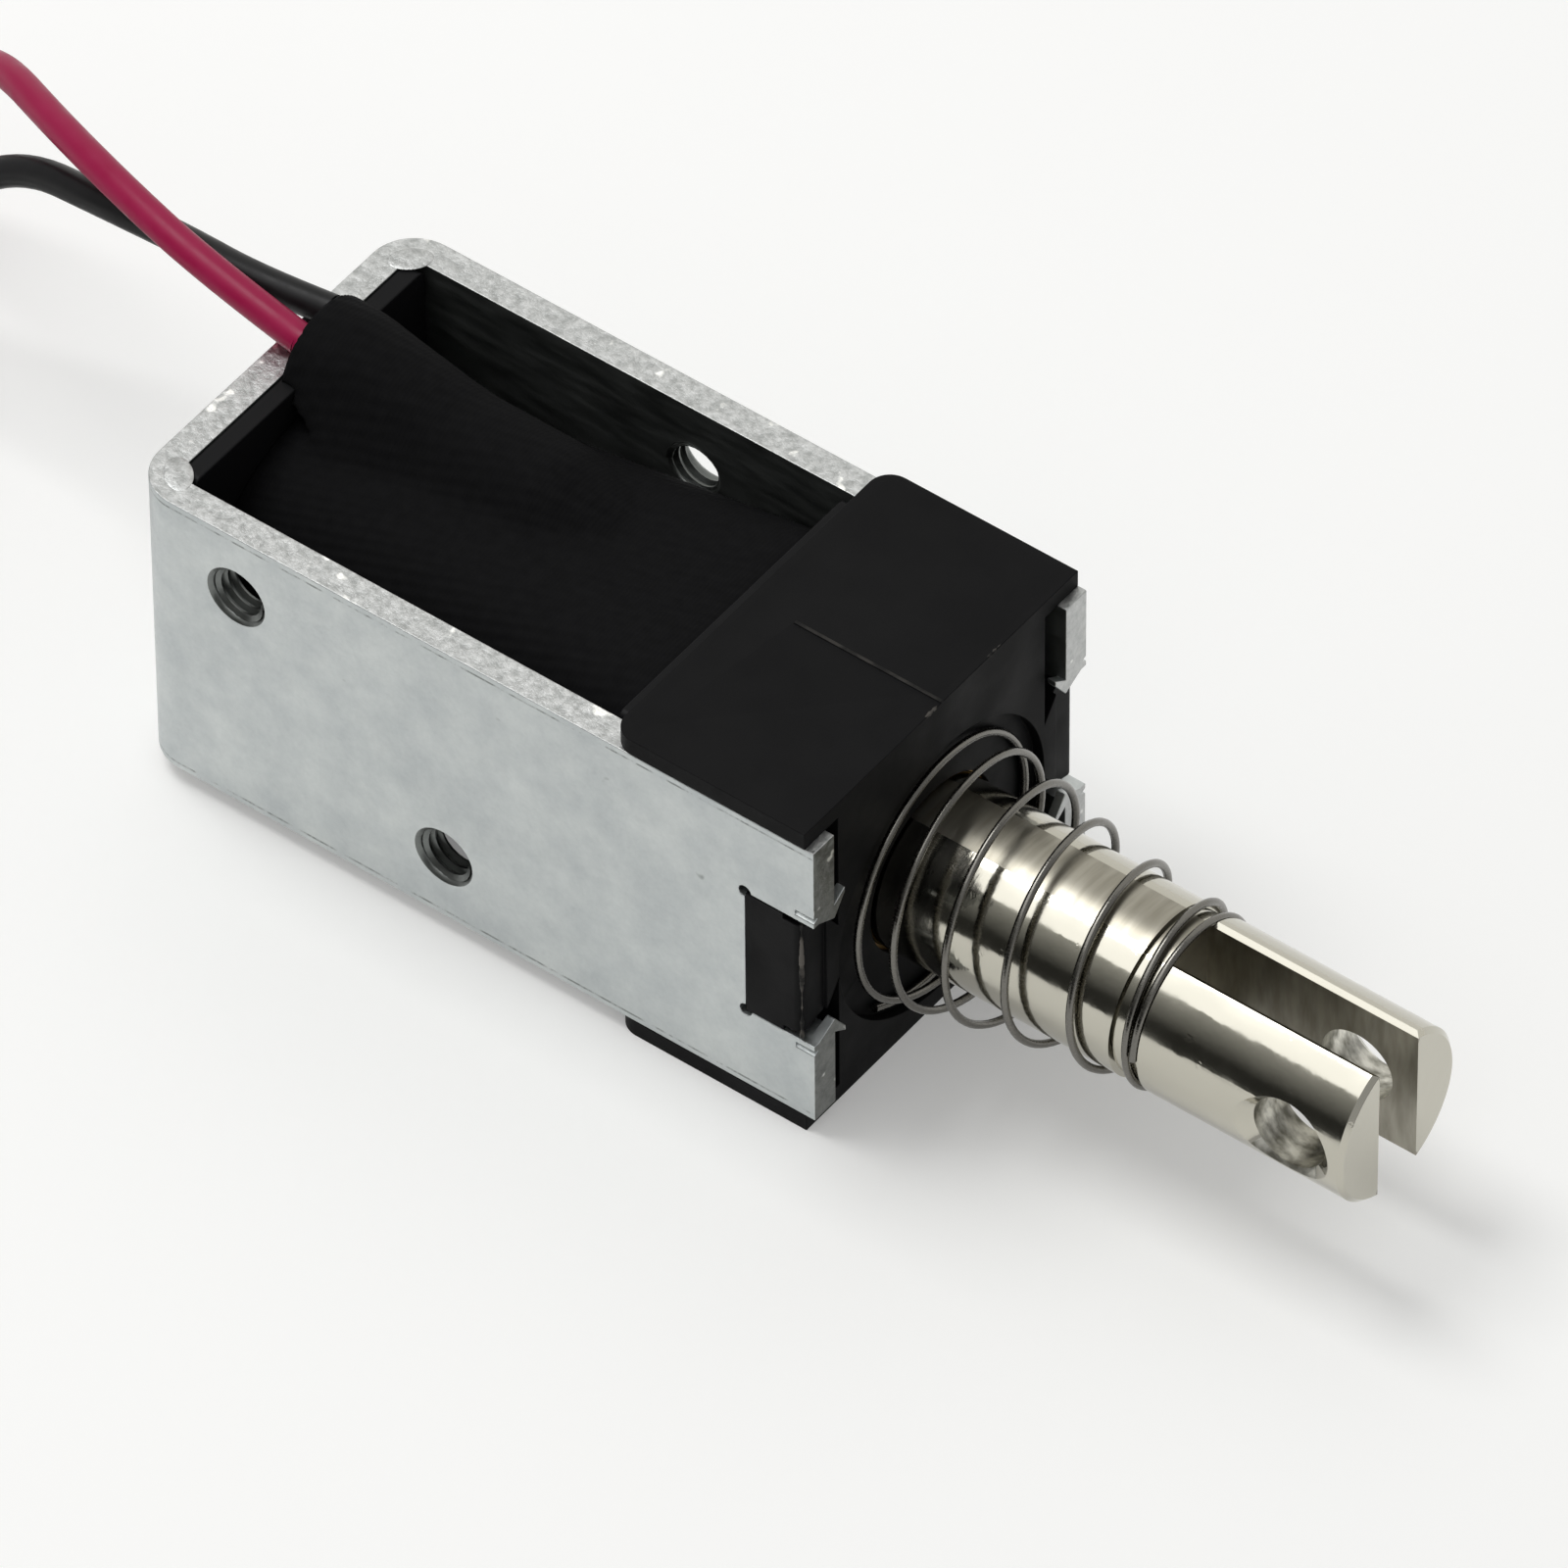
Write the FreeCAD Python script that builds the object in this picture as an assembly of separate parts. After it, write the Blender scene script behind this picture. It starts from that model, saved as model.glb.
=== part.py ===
"""Push pull solenoid: a coil in an open steel frame draws a sprung plunger in when it is powered.

Millimetres. The model is laid out about the plunger's axis, with x = 0 on the back of the
frame and +X the way the plunger points. At the end every piece is moved so that the origin
is below the middle of the part, on the surface that it stands on.
"""
import FreeCAD
import Part
import math
import os

Vec = FreeCAD.Vector

# Frame, a strip of steel bent to a U
frame_length = 40.0
frame_width = 21.0
strip_height = 18.0
sheet = 1.6
bend_radius = 2.4
frame_rise = 1.1            # middle of the strip above the plunger's axis, room for the leads
notch_length = 4.0
notch_height = 8.0
notch_relief_r = 0.35       # in the notch's two rear corners
lip_reach = 0.8             # lips, staked over the block at the prongs' notch corners
lip_length = 0.5
lip_drop = 0.6              # of the lip's bend, past the notch's edge
lip_rise = 0.55             # of its tip, back from the notch's edge
lip_tip = 0.3
dent_length = 1.1           # groove that the staking tool leaves in the side
dent_width = 0.35
dent_depth = 0.3
tap_minor_d = 2.5           # M3 threads
tap_mouth_d = 3.4
tap_inner_mouth_d = 3.1
tap_rear_x = 6.3
tap_pitch_x = 12.0
tap_offset_z = 5.0          # above and below the middle of the strip

# End block, moulded, held between the prongs
block_length = 11.2
prong_proud = 0.5           # the prongs stand this far past the block's face
cap_overhang = 1.0          # caps reach over the strip's top and bottom edges
cap_corner_r = 1.2
block_side_clear = 0.05
tab_set_back = 0.2
tab_corner_r = 0.5
pocket_width = 0.9          # beside each prong, where its lip is curled in
pocket_depth = 1.3
pocket_lip_clear = 0.1
pocket_tail = 2.2           # narrows to a point past the notch's edge
seat_radius = 7.9           # round recess where the spring stands
seat_depth = 0.6
parting_line_rise = 0.08
parting_line_width = 0.2
parting_line_start = 2.7       # from the block's back
front_bore_clear = 0.2

# Plunger
plunger_d = 9.0
plunger_reach = 26.1        # past the block's face, when out
stroke = 10.0
tip_chamfer = 0.25
slot_width = 3.0
slot_depth = 12.0
eye_d = 4.0
eye_from_tip = 3.4
eye_chamfer = 0.45
groove_depth = 0.25
groove_length = 1.65
groove_past_slot = 0.45     # the slot's root opens into the groove

# Return spring, wound smaller towards the tip
wire_d = 0.4
spring_seat_gap = 0.05
spring_grip_clear = 0.04
coil_outer_radii = [7.1, 6.75, 6.3, 5.65, 5.2, 4.9]     # at each whole turn from the base
coil_pitches = [1.4, 2.45, 2.8, 3.45, 3.45]             # from one turn to the next
grip_turns = [0.21, 0.42, 1.0, 1.36]    # past the last whole turn, in the groove
grip_shares = [0.43, 0.65, 1.0, 1.0]    # of the way from there to the groove's end
grip_end_gap = 0.05
tail_turns = 0.5            # flat end turn before the first of these
tail_angle = 50.0           # where the first whole turn starts, from +Y towards +Z
tail_flare = 0.55
points_per_turn = 16

# Magnetic circuit and coil
running_clear = 0.05
guide_wall = 0.3
guide_set_back = 1.0
core_length = 10.4
core_clear = 0.02
rivet_d = 5.0
rivet_head_d = 6.2
rivet_head_depth = 0.6
shim_thickness = 0.3
shim_gap = 0.1
pole_plate_thickness = 1.6
pole_plate_from_block = 1.7
pole_plate_height = 14.8
bobbin_wall = 0.65
flange_thickness = 1.0
flange_side_gap = 0.2
flange_top_gap = 0.1
flange_corner_r = 0.5
tape_side_gap = 1.05         # between the tape and the walls, at the back
tape_thickness = 0.55
wrap_top_gap = 0.8          # below the strip's top, where the wrap meets the block
wrap_bulge = 0.3            # higher than round
wrap_middle = 0.45          # the middle section, as a share of the wrap's length
wrap_corner_radii = [6.6, 5.6, 3.6]    # at its back, middle and front

# Leads, insulated, anchored under tape on top of the coil
lead_d = 1.6
conductor_d = 0.76
tinned_length = 5.0
lead_length = 150.0         # from the exit to the tinned tip
red_y = 0.8
black_y = 3.2
exit_x = 1.5                # just outside the back wall's inner face
exit_clear = 0.15           # over the frame's edge
exit_drop = 0.1             # of a lead's root, just inside the frame's edge
sleeve_d = 2.1
sleeve_length = 5.5
sleeve_start_x = 9.0
sleeve_round = 0.3
lead_bed_clear = 0.65       # between a sleeve and the winding
lead_way_clear = 0.4
tape_set_in = 0.15          # the tape's edge, from where the leads leave it
tape_foot_drop = 6.0        # where the tape's flanks run into the wrap, below the strip's top
tape_foot_in = 1.5          # and from the wrap's side
tape_exit_run = 2.05        # the tape holds the leads up for this far
tape_exit_spreads = [1.4, 2.0]      # past the leads, each side, at the two ends of that
tape_exit_drops = [0.4, 1.2]        # of its feet, below the strip's top
tape_exit_falls = [0.0, 0.12]       # of its crest
tape_past_start = 1.0       # first full section, past the sleeves' start
tape_past_ends = [1.0, 6.0]     # the others, past the sleeves' end
tape_crests = [0.2, -0.1, -1.9]     # of these sections, above the tape over a sleeve
tape_exit_ridge_spread = 1.2    # the ridge's radius at the exit, past half the leads' width
tape_flank_widths = [1.15, 0.75, 0.55]  # between the ridge and the foot of a section
root_level_run = 1.2        # a lead's root, in lead diameters: its first run
root_bend_back = 1.5        # its bend before the sleeve
root_in_sleeve = 1.0        # and its end in the sleeve
coil_across = 16.0          # put-away coils, at the middle of their turns
end_turn_in = 50.0          # the bare end points this far in from the last turn, degrees
floor_clear = 0.05

over = 1.0                  # how far a cutter runs past what it cuts

# Places that follow from the sizes
inner_half = frame_width / 2 - sheet
half_width = frame_width / 2
strip_top = frame_rise + strip_height / 2
strip_bottom = frame_rise - strip_height / 2
cap_top = strip_top + cap_overhang
floor_z = strip_bottom - cap_overhang
block_face = frame_length - prong_proud
block_back = block_face - block_length
seat_x = block_face - seat_depth
plunger_r = plunger_d / 2
tip_x = block_face + plunger_reach
slot_root_x = tip_x - slot_depth
groove_end_x = slot_root_x + groove_past_slot
eye_x = tip_x - eye_from_tip
core_face_x = sheet + core_length
plunger_rear_x = core_face_x + shim_thickness + shim_gap + stroke
guide_r_in = plunger_r + running_clear
guide_r_out = guide_r_in + guide_wall
guide_front_x = block_face - guide_set_back
bobbin_r = guide_r_out + bobbin_wall
bobbin_back = sheet
bobbin_front = block_back
tape_radius = inner_half - tape_side_gap
winding_radius = tape_radius - tape_thickness
lead_r = lead_d / 2
exit_z = strip_top + lead_r + exit_clear
lead_bed_z = winding_radius + lead_bed_clear + sleeve_d / 2
origin = Vec(tip_x / 2, 0, floor_z)


def box(x0, x1, y0, y1, z0, z1):
    return Part.makeBox(x1 - x0, y1 - y0, z1 - z0, Vec(x0, y0, z0))


def rod(radius, x0, x1, y=0.0, z=0.0):
    """A cylinder along X."""
    return Part.makeCylinder(radius, x1 - x0, Vec(x0, y, z), Vec(1, 0, 0))


def edges_along(shape, direction, test):
    """The straight edges along a direction whose middle passes the test."""
    found = []
    for edge in shape.Edges:
        if edge.Curve.TypeId != "Part::GeomLine":
            continue
        if abs(abs(edge.tangentAt(edge.FirstParameter).dot(direction)) - 1) > 1e-6:
            continue
        if test(edge.CenterOfMass):
            found.append(edge)
    return found


def rounded_section(x, y0, y1, z0, z1, radius):
    """A rounded rectangle across X, as one wire of four lines and four arcs."""
    corners = [(y1, z1, 0), (y0, z1, 90), (y0, z0, 180), (y1, z0, 270)]
    inward = {0: (-1, -1), 90: (1, -1), 180: (1, 1), 270: (-1, 1)}
    arcs = []
    for y, z, turned in corners:
        cy = y + inward[turned][0] * radius
        cz = z + inward[turned][1] * radius
        points = []
        for degrees in (turned, turned + 45, turned + 90):
            a = math.radians(degrees)
            points.append(Vec(x, cy + radius * math.cos(a), cz + radius * math.sin(a)))
        arcs.append(points)
    edges = []
    for number, points in enumerate(arcs):
        edges.append(Part.Arc(*points).toShape())
        edges.append(Part.LineSegment(points[2], arcs[(number + 1) % 4][0]).toShape())
    return Part.Wire(edges)


def tapped_hole(x, z, side):
    """The cutter of one threaded hole through a side wall, side is -1 or 1."""
    outer = side * half_width
    inward = Vec(0, -side, 0)
    depth_out = (tap_mouth_d - tap_minor_d) / 2
    depth_in = (tap_inner_mouth_d - tap_minor_d) / 2
    hole = Part.makeCylinder(tap_minor_d / 2, sheet, Vec(x, outer, z), inward)
    mouth = Part.makeCone(tap_mouth_d / 2, tap_minor_d / 2, depth_out, Vec(x, outer, z), inward)
    inner = Vec(x, outer - side * (sheet - depth_in), z)
    back = Part.makeCone(tap_minor_d / 2, tap_inner_mouth_d / 2, depth_in, inner, inward)
    return hole.fuse([mouth, back])


def across_prong(side, end, x0, length, outline):
    """A prism along X at a prong's notch corner, from points (in from the side, away from the notch)."""
    z_notch = frame_rise + end * notch_height / 2
    points = [Vec(x0, side * (half_width - depth), z_notch + end * away) for depth, away in outline]
    return Part.Face(Part.makePolygon(points + points[:1])).extrude(Vec(length, 0, 0))


def staked_lip(side, end):
    """A lip folded in from a prong's notch corner into the block's pocket."""
    outline = [(sheet / 4, 0), (sheet, -lip_drop), (sheet + lip_reach, lip_rise),
               (sheet + lip_reach, lip_rise + lip_tip), (sheet, lip_tip), (sheet / 4, lip_tip)]
    return across_prong(side, end, frame_length - lip_length, lip_length, outline)


def staking_dent(side, end):
    """The groove that the staking tool leaves in a prong's side."""
    outline = [(-over, lip_tip), (0, lip_tip), (dent_depth, lip_tip + dent_width / 2),
               (0, lip_tip + dent_width), (-over, lip_tip + dent_width)]
    return across_prong(side, end, frame_length - dent_length, dent_length + over, outline)


def make_frame():
    outer = box(0, frame_length, -half_width, half_width, strip_bottom, strip_top)
    corner = edges_along(outer, Vec(0, 0, 1), lambda c: c.x < 1e-6)
    outer = outer.makeFillet(bend_radius, corner)
    inner = box(sheet, frame_length + over, -inner_half, inner_half,
                strip_bottom - over, strip_top + over)
    corner = edges_along(inner, Vec(0, 0, 1), lambda c: c.x < sheet + 1e-6)
    inner = inner.makeFillet(bend_radius - sheet, corner)
    strip = outer.cut(inner)
    notch = box(frame_length - notch_length, frame_length + over,
                -half_width - over, half_width + over,
                frame_rise - notch_height / 2, frame_rise + notch_height / 2)
    cutters = [notch]
    for end in (-1, 1):
        cutters.append(Part.makeCylinder(notch_relief_r, frame_width + 2 * over,
                                         Vec(frame_length - notch_length, -half_width - over,
                                             frame_rise + end * notch_height / 2), Vec(0, 1, 0)))
    corners = [(side, end) for side in (-1, 1) for end in (-1, 1)]
    strip = strip.cut(cutters).fuse([staked_lip(side, end) for side, end in corners])
    holes = [staking_dent(side, end) for side, end in corners]
    for side in (-1, 1):
        for column, end in ((0, -side), (1, side)):
            x = tap_rear_x + column * tap_pitch_x
            holes.append(tapped_hole(x, frame_rise + end * tap_offset_z, side))
    rivet_hole = rod(rivet_d / 2, -over, sheet + over)
    rivet_sink = Part.makeCone(rivet_head_d / 2, rivet_d / 2, rivet_head_depth,
                               Vec(0, 0, 0), Vec(1, 0, 0))
    return strip.cut(holes + [rivet_hole, rivet_sink]).removeSplitter()


def make_pole_plate():
    half = inner_half - block_side_clear
    x0 = block_back + pole_plate_from_block
    plate = box(x0, x0 + pole_plate_thickness, -half, half,
                frame_rise - pole_plate_height / 2, frame_rise + pole_plate_height / 2)
    return plate.cut(rod(guide_r_out, x0 - over, x0 + pole_plate_thickness + over))


def make_end_block():
    body_half = inner_half - block_side_clear
    body = box(block_back, block_face, -body_half, body_half, strip_bottom, strip_top)
    caps = []
    for z0 in (strip_top, floor_z):
        cap = box(block_back, block_face, -half_width, half_width, z0, z0 + cap_overhang)
        corner = edges_along(cap, Vec(0, 0, 1), lambda c: c.x < block_back + 1e-6)
        caps.append(cap.makeFillet(cap_corner_r, corner))
    tab_half = notch_height / 2 - block_side_clear
    tabs = box(frame_length - notch_length + block_side_clear, block_face - tab_set_back,
               -half_width, half_width, frame_rise - tab_half, frame_rise + tab_half)
    corner = edges_along(tabs, Vec(0, 0, 1), lambda c: c.x > block_face - tab_set_back - 1e-6)
    tabs = tabs.makeFillet(tab_corner_r, corner)
    seam = box(block_back + parting_line_start, block_face,
               -parting_line_width / 2, parting_line_width / 2, strip_top, cap_top + parting_line_rise)
    block = body.fuse(caps + [tabs, seam])
    cutters = [rod(guide_r_out, block_back - over, guide_front_x)]
    cutters.append(rod(plunger_r + front_bore_clear, guide_front_x, block_face + over))
    cutters.append(rod(seat_radius, seat_x, block_face + over))
    for side in (-1, 1):
        for end in (-1, 1):
            far_edge = (strip_height - notch_height) / 2
            inner = half_width - body_half + pocket_width
            outline = [(-over, far_edge), (inner, far_edge), (inner, -pocket_tail),
                       (sheet, -lip_drop - pocket_lip_clear * 2), (-over, -pocket_lip_clear)]
            cutters.append(across_prong(side, end, block_face - pocket_depth, pocket_depth + over,
                                        outline))
    cutters.append(make_pole_plate())
    return block.cut(cutters).removeSplitter()


def make_guide_tube():
    return rod(guide_r_out, bobbin_back, guide_front_x).cut(
        rod(guide_r_in, bobbin_back - over, guide_front_x + over))


def make_fixed_core():
    core = rod(guide_r_in - core_clear, sheet, core_face_x)
    stem = rod(rivet_d / 2, 0, sheet)
    head = Part.makeCone(rivet_head_d / 2, rivet_d / 2, rivet_head_depth,
                         Vec(0, 0, 0), Vec(1, 0, 0))
    return core.fuse([stem, head]).removeSplitter()


def make_core_shim():
    return rod(guide_r_in - 2 * core_clear, core_face_x, core_face_x + shim_thickness)


def make_bobbin():
    half = inner_half - flange_side_gap
    top = strip_top - flange_top_gap
    bottom = strip_bottom + flange_top_gap
    solids = [rod(bobbin_r, bobbin_back, bobbin_front)]
    for x0 in (bobbin_back, bobbin_front - flange_thickness):
        flange = box(x0, x0 + flange_thickness, -half, half, bottom, top)
        corners = edges_along(flange, Vec(1, 0, 0), lambda c: True)
        solids.append(flange.makeFillet(flange_corner_r, corners))
    in_bend = box(bobbin_back, bobbin_front, -half, half, bottom, top)
    corner = edges_along(in_bend, Vec(0, 0, 1), lambda c: c.x < bobbin_back + 1e-6)
    in_bend = in_bend.makeFillet(bend_radius - sheet, corner)
    bobbin = solids[0].fuse(solids[1:]).common(in_bend)
    bore = rod(guide_r_out, bobbin_back - over, bobbin_front + over)
    lead_way = box(bobbin_back - over, bobbin_back + flange_thickness + lead_way_clear,
                   red_y - lead_d, black_y + lead_d, tape_radius + lead_way_clear, top + over)
    return bobbin.cut([bore, lead_way]).removeSplitter()


def make_winding():
    x0 = bobbin_back + flange_thickness
    x1 = bobbin_front - flange_thickness
    return rod(winding_radius, x0, x1).cut(rod(bobbin_r, x0 - over, x1 + over))


def make_lead_root(y):
    """The insulated stretch of a lead that lies under the tape, up to its joint."""
    points = [Vec(exit_x, y, exit_z), Vec(exit_x + root_level_run * lead_d, y, exit_z - exit_drop),
              Vec(sleeve_start_x - root_bend_back * lead_d, y, lead_bed_z + 2 * exit_drop),
              Vec(sleeve_start_x + root_in_sleeve * lead_d, y, lead_bed_z)]
    return tube(points, lead_r)


def make_sleeve(y, root):
    """The shrunk sleeve over the joint between a lead and the magnet wire."""
    sleeve = rod(sleeve_d / 2, sleeve_start_x, sleeve_start_x + sleeve_length, y, lead_bed_z)
    ends = [e for e in sleeve.Edges if e.Closed]
    return sleeve.makeFillet(sleeve_round, ends).cut(root)


def make_coil_tape(inner_pieces):
    """The tape round the winding, round at the back and squarer where it meets the block."""
    x0 = bobbin_back + flange_thickness
    x1 = bobbin_front - flange_thickness
    wide = inner_half - flange_side_gap
    high = strip_top - wrap_top_gap
    halves = (tape_radius, tape_radius + wrap_bulge, wide)
    tops = (tape_radius + wrap_bulge, (tape_radius + high) / 2, high)
    sections = []
    for share, half, top, radius in zip((0, wrap_middle, 1), halves, tops, wrap_corner_radii):
        x = x0 + share * (x1 - x0)
        sections.append(rounded_section(x, -half, half, -tape_radius, top, radius))
    wrap = Part.makeLoft(sections, True, True)
    return wrap.cut([rod(winding_radius, x0 - over, x1 + over)] + inner_pieces)


def tent_section(x, y0, y1, base, crest, ridge_r):
    """A section of taped leads: a flat base, and a rounded ridge with a straight flank each side."""
    ridge = Vec(x, (red_y + black_y) / 2, crest - ridge_r)
    touch = []
    for y, side in ((y0, -1), (y1, 1)):
        foot = Vec(x, y, base)
        reach = foot - ridge
        slant = math.atan2(reach.z, reach.y) + side * math.acos(ridge_r / reach.Length)
        touch.append((foot, ridge + Vec(0, math.cos(slant), math.sin(slant)) * ridge_r))
    top = ridge + Vec(0, 0, ridge_r)
    (left, left_touch), (right, right_touch) = touch
    return Part.Wire([Part.LineSegment(left, left_touch).toShape(),
                      Part.Arc(left_touch, top, right_touch).toShape(),
                      Part.LineSegment(right_touch, right).toShape(),
                      Part.LineSegment(right, left).toShape()])


def make_lead_tape(neighbours):
    """The last wrap of tape, drawn tight over both leads and their sleeves on top of the coil."""
    top = exit_z + lead_r + tape_thickness
    crest = lead_bed_z + sleeve_d / 2 + tape_thickness
    middle_y = (red_y + black_y) / 2
    half = (black_y - red_y) / 2 + lead_r
    sleeve_end = sleeve_start_x + sleeve_length
    wide = tape_radius - tape_foot_in
    foot = strip_top - tape_foot_drop
    edge_x = exit_x + tape_set_in
    sections = []
    for x, spread, drop, fall in zip((edge_x, edge_x + tape_exit_run), tape_exit_spreads,
                                     tape_exit_drops, tape_exit_falls):
        reach = half + spread
        sections.append(tent_section(x, middle_y - reach, middle_y + reach, strip_top - drop,
                                     top - fall, half + tape_exit_ridge_spread))
    places = [sleeve_start_x + tape_past_start] + [sleeve_end + past for past in tape_past_ends]
    for x, above, flank in zip(places, tape_crests, tape_flank_widths):
        sections.append(tent_section(x, -wide, wide, foot, crest + above, wide - middle_y - flank))
    lump = Part.makeLoft(sections, True, True)
    wall = box(0, sheet + floor_clear, -inner_half, inner_half, 0, strip_top + floor_clear)
    return lump.cut([wall, rod(winding_radius, 0, bobbin_front)] + neighbours)


def make_plunger():
    body = rod(plunger_r, plunger_rear_x, tip_x)
    rims = [e for e in body.Edges if e.Closed]
    body = body.makeChamfer(tip_chamfer, rims)
    groove_x = groove_end_x - groove_length
    groove = rod(plunger_r + over, groove_x, groove_end_x).cut(
        rod(plunger_r - groove_depth, groove_x, groove_end_x))
    slot = box(slot_root_x, tip_x + over, -slot_width / 2, slot_width / 2,
               -plunger_r - over, plunger_r + over)
    start = Vec(eye_x, -plunger_r - over, 0)
    eye = Part.makeCylinder(eye_d / 2, plunger_d + 2 * over, start, Vec(0, 1, 0))
    cutters = [groove, slot, eye]
    rim_y = math.sqrt(plunger_r ** 2 - (eye_d / 2) ** 2)
    for side in (-1, 1):
        start = Vec(eye_x, side * (rim_y - eye_chamfer / 2), 0)
        reach = plunger_r - rim_y + eye_chamfer
        cutters.append(Part.makeCone(eye_d / 2, eye_d / 2 + reach, reach, start, Vec(0, side, 0)))
    return body.cut(cutters).removeSplitter()


def spring_stations():
    """The spring's line as turns from the first whole one, with their places along X and radii."""
    stations = [(-tail_turns, seat_x + spring_seat_gap + wire_d / 2, coil_outer_radii[0] - wire_d / 2)]
    x = stations[0][1]
    for turn, radius in enumerate(coil_outer_radii):
        stations.append((turn, x, radius - wire_d / 2))
        if turn < len(coil_pitches):
            x += coil_pitches[turn]
    last = len(coil_pitches)
    grip_x = groove_end_x - grip_end_gap - wire_d / 2
    grip_r = plunger_r - groove_depth + spring_grip_clear + wire_d / 2
    for past, share in zip(grip_turns, grip_shares):
        stations.append((last + past, x + share * (grip_x - x), grip_r))
    return stations


def spring_line():
    """The centre line of the spring's wire, from its flat base turn to its grip in the groove."""
    stations = spring_stations()
    first, last = stations[0][0], stations[-1][0]
    steps = int(points_per_turn * (last - first))
    points = []
    for step in range(steps + 1):
        turn = first + (last - first) * step / steps
        ahead = next(n for n, station in enumerate(stations) if station[0] >= turn - 1e-9 and n > 0)
        (turn0, x0, r0), (turn1, x1, r1) = stations[ahead - 1], stations[ahead]
        share = (turn - turn0) / (turn1 - turn0)
        radius = r0 + share * (r1 - r0)
        if turn < 0:
            radius += tail_flare * (turn / tail_turns) ** 2
        angle = math.radians(tail_angle) + 2 * math.pi * turn
        points.append(Vec(x0 + share * (x1 - x0), radius * math.cos(angle), radius * math.sin(angle)))
    return points


def make_spring():
    points = spring_line()
    line = Part.BSplineCurve()
    line.interpolate(points)
    path = Part.Wire(line.toShape())
    start = line.tangent(line.FirstParameter)[0]
    circle = Part.Wire(Part.Circle(points[0], start, wire_d / 2).toShape())
    return path.makePipeShell([circle], True, True)


def route(points):
    """Straight runs joined by arcs as large as the shorter run beside each allows."""
    edges = []
    radii = []
    at = points[0]
    for before, corner, after in zip(points, points[1:], points[2:]):
        back = (before - corner).normalize()
        ahead = (after - corner).normalize()
        turn = math.pi - back.getAngle(ahead)
        cut = 0.45 * min((before - corner).Length, (after - corner).Length)
        start = corner + back * cut
        end = corner + ahead * cut
        radius = cut / math.tan(turn / 2)
        middle = (back + ahead).normalize()
        arc_mid = corner + middle * (radius / math.cos(turn / 2) - radius)
        edges.append(Part.LineSegment(at, start).toShape())
        edges.append(Part.Arc(start, arc_mid, end).toShape())
        radii.append(radius)
        at = end
    edges.append(Part.LineSegment(at, points[-1]).toShape())
    return Part.Wire(edges), radii


def tube(points, radius):
    path, radii = route(points)
    ahead = points[1] - points[0]
    circle = Part.Wire(Part.Circle(points[0], ahead, radius).toShape())
    solid = path.makePipeShell([circle], True, False)
    print("run of %.1f mm, smallest bend %.1f mm, volume over section and length %.4f" % (
        path.Length, min(radii), solid.Volume / (math.pi * radius ** 2 * path.Length)))
    return solid


# Routes of the two leads from where they leave the tape to their put-away coils
floor_lead_z = floor_z + lead_r + floor_clear
red_route = [Vec(exit_x, red_y, exit_z), Vec(-4.5, 1.3, 11.8), Vec(-10.2, 2.6, 12.1),
             Vec(-16.3, 4.9, 11.3), Vec(-22.6, 8.2, 9.3), Vec(-26.6, 10.1, 5.0),
             Vec(-29.6, 11.1, -0.6), Vec(-32.6, 11.4, -6.0), Vec(-38.0, 11.1, floor_lead_z),
             Vec(-43.6, 11.3, floor_lead_z), Vec(-49.2, 11.9, floor_lead_z)]
black_route = [Vec(exit_x, black_y, exit_z), Vec(-2.7, 3.2, 10.75), Vec(-7.5, 3.4, 10.1),
               Vec(-12.7, 4.0, 9.0), Vec(-18.9, 5.1, 7.2), Vec(-23.0, 4.0, 3.4),
               Vec(-27.6, 5.0, -1.6), Vec(-31.9, 5.6, -6.2), Vec(-35.3, 3.0, floor_lead_z),
               Vec(-37.1, -1.2, floor_lead_z)]


class PutAwayCoil:
    """The flat spiral that holds the rest of a lead, to the left of the end of its route."""

    def __init__(self, points):
        rest = lead_length - tinned_length - route(points)[0].Length
        self.turns = rest / (math.pi * coil_across)
        self.outer_r = (coil_across + self.turns * lead_d) / 2
        self.inner_r = (coil_across - self.turns * lead_d) / 2
        ahead = (points[-1] - points[-2]).normalize()
        across = Vec(0, 0, 1).cross(ahead)
        self.centre = points[-1] + across * self.outer_r
        self.start_angle = math.atan2(-across.y, -across.x)

    def ring(self):
        """The outer shape of the turns."""
        base = Vec(self.centre.x, self.centre.y, floor_z + floor_clear)
        ring = Part.makeCylinder(self.outer_r + lead_r, lead_d, base).cut(
            Part.makeCylinder(self.inner_r - lead_r, lead_d, base))
        rims = [e for e in ring.Edges if e.Closed]
        return ring.makeFillet(lead_r * 0.9, rims)

    def tinned_end(self):
        """The bare tinned strands, which point into the middle of the coil."""
        angle = self.start_angle + 2 * math.pi * self.turns
        outward = Vec(math.cos(angle), math.sin(angle), 0)
        turn_in = math.radians(end_turn_in)
        ahead = Vec(0, 0, 1).cross(outward) * math.cos(turn_in) - outward * math.sin(turn_in)
        start = self.centre + outward * (self.inner_r - lead_r)
        return Part.makeCylinder(conductor_d / 2, tinned_length, start, ahead)


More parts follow.
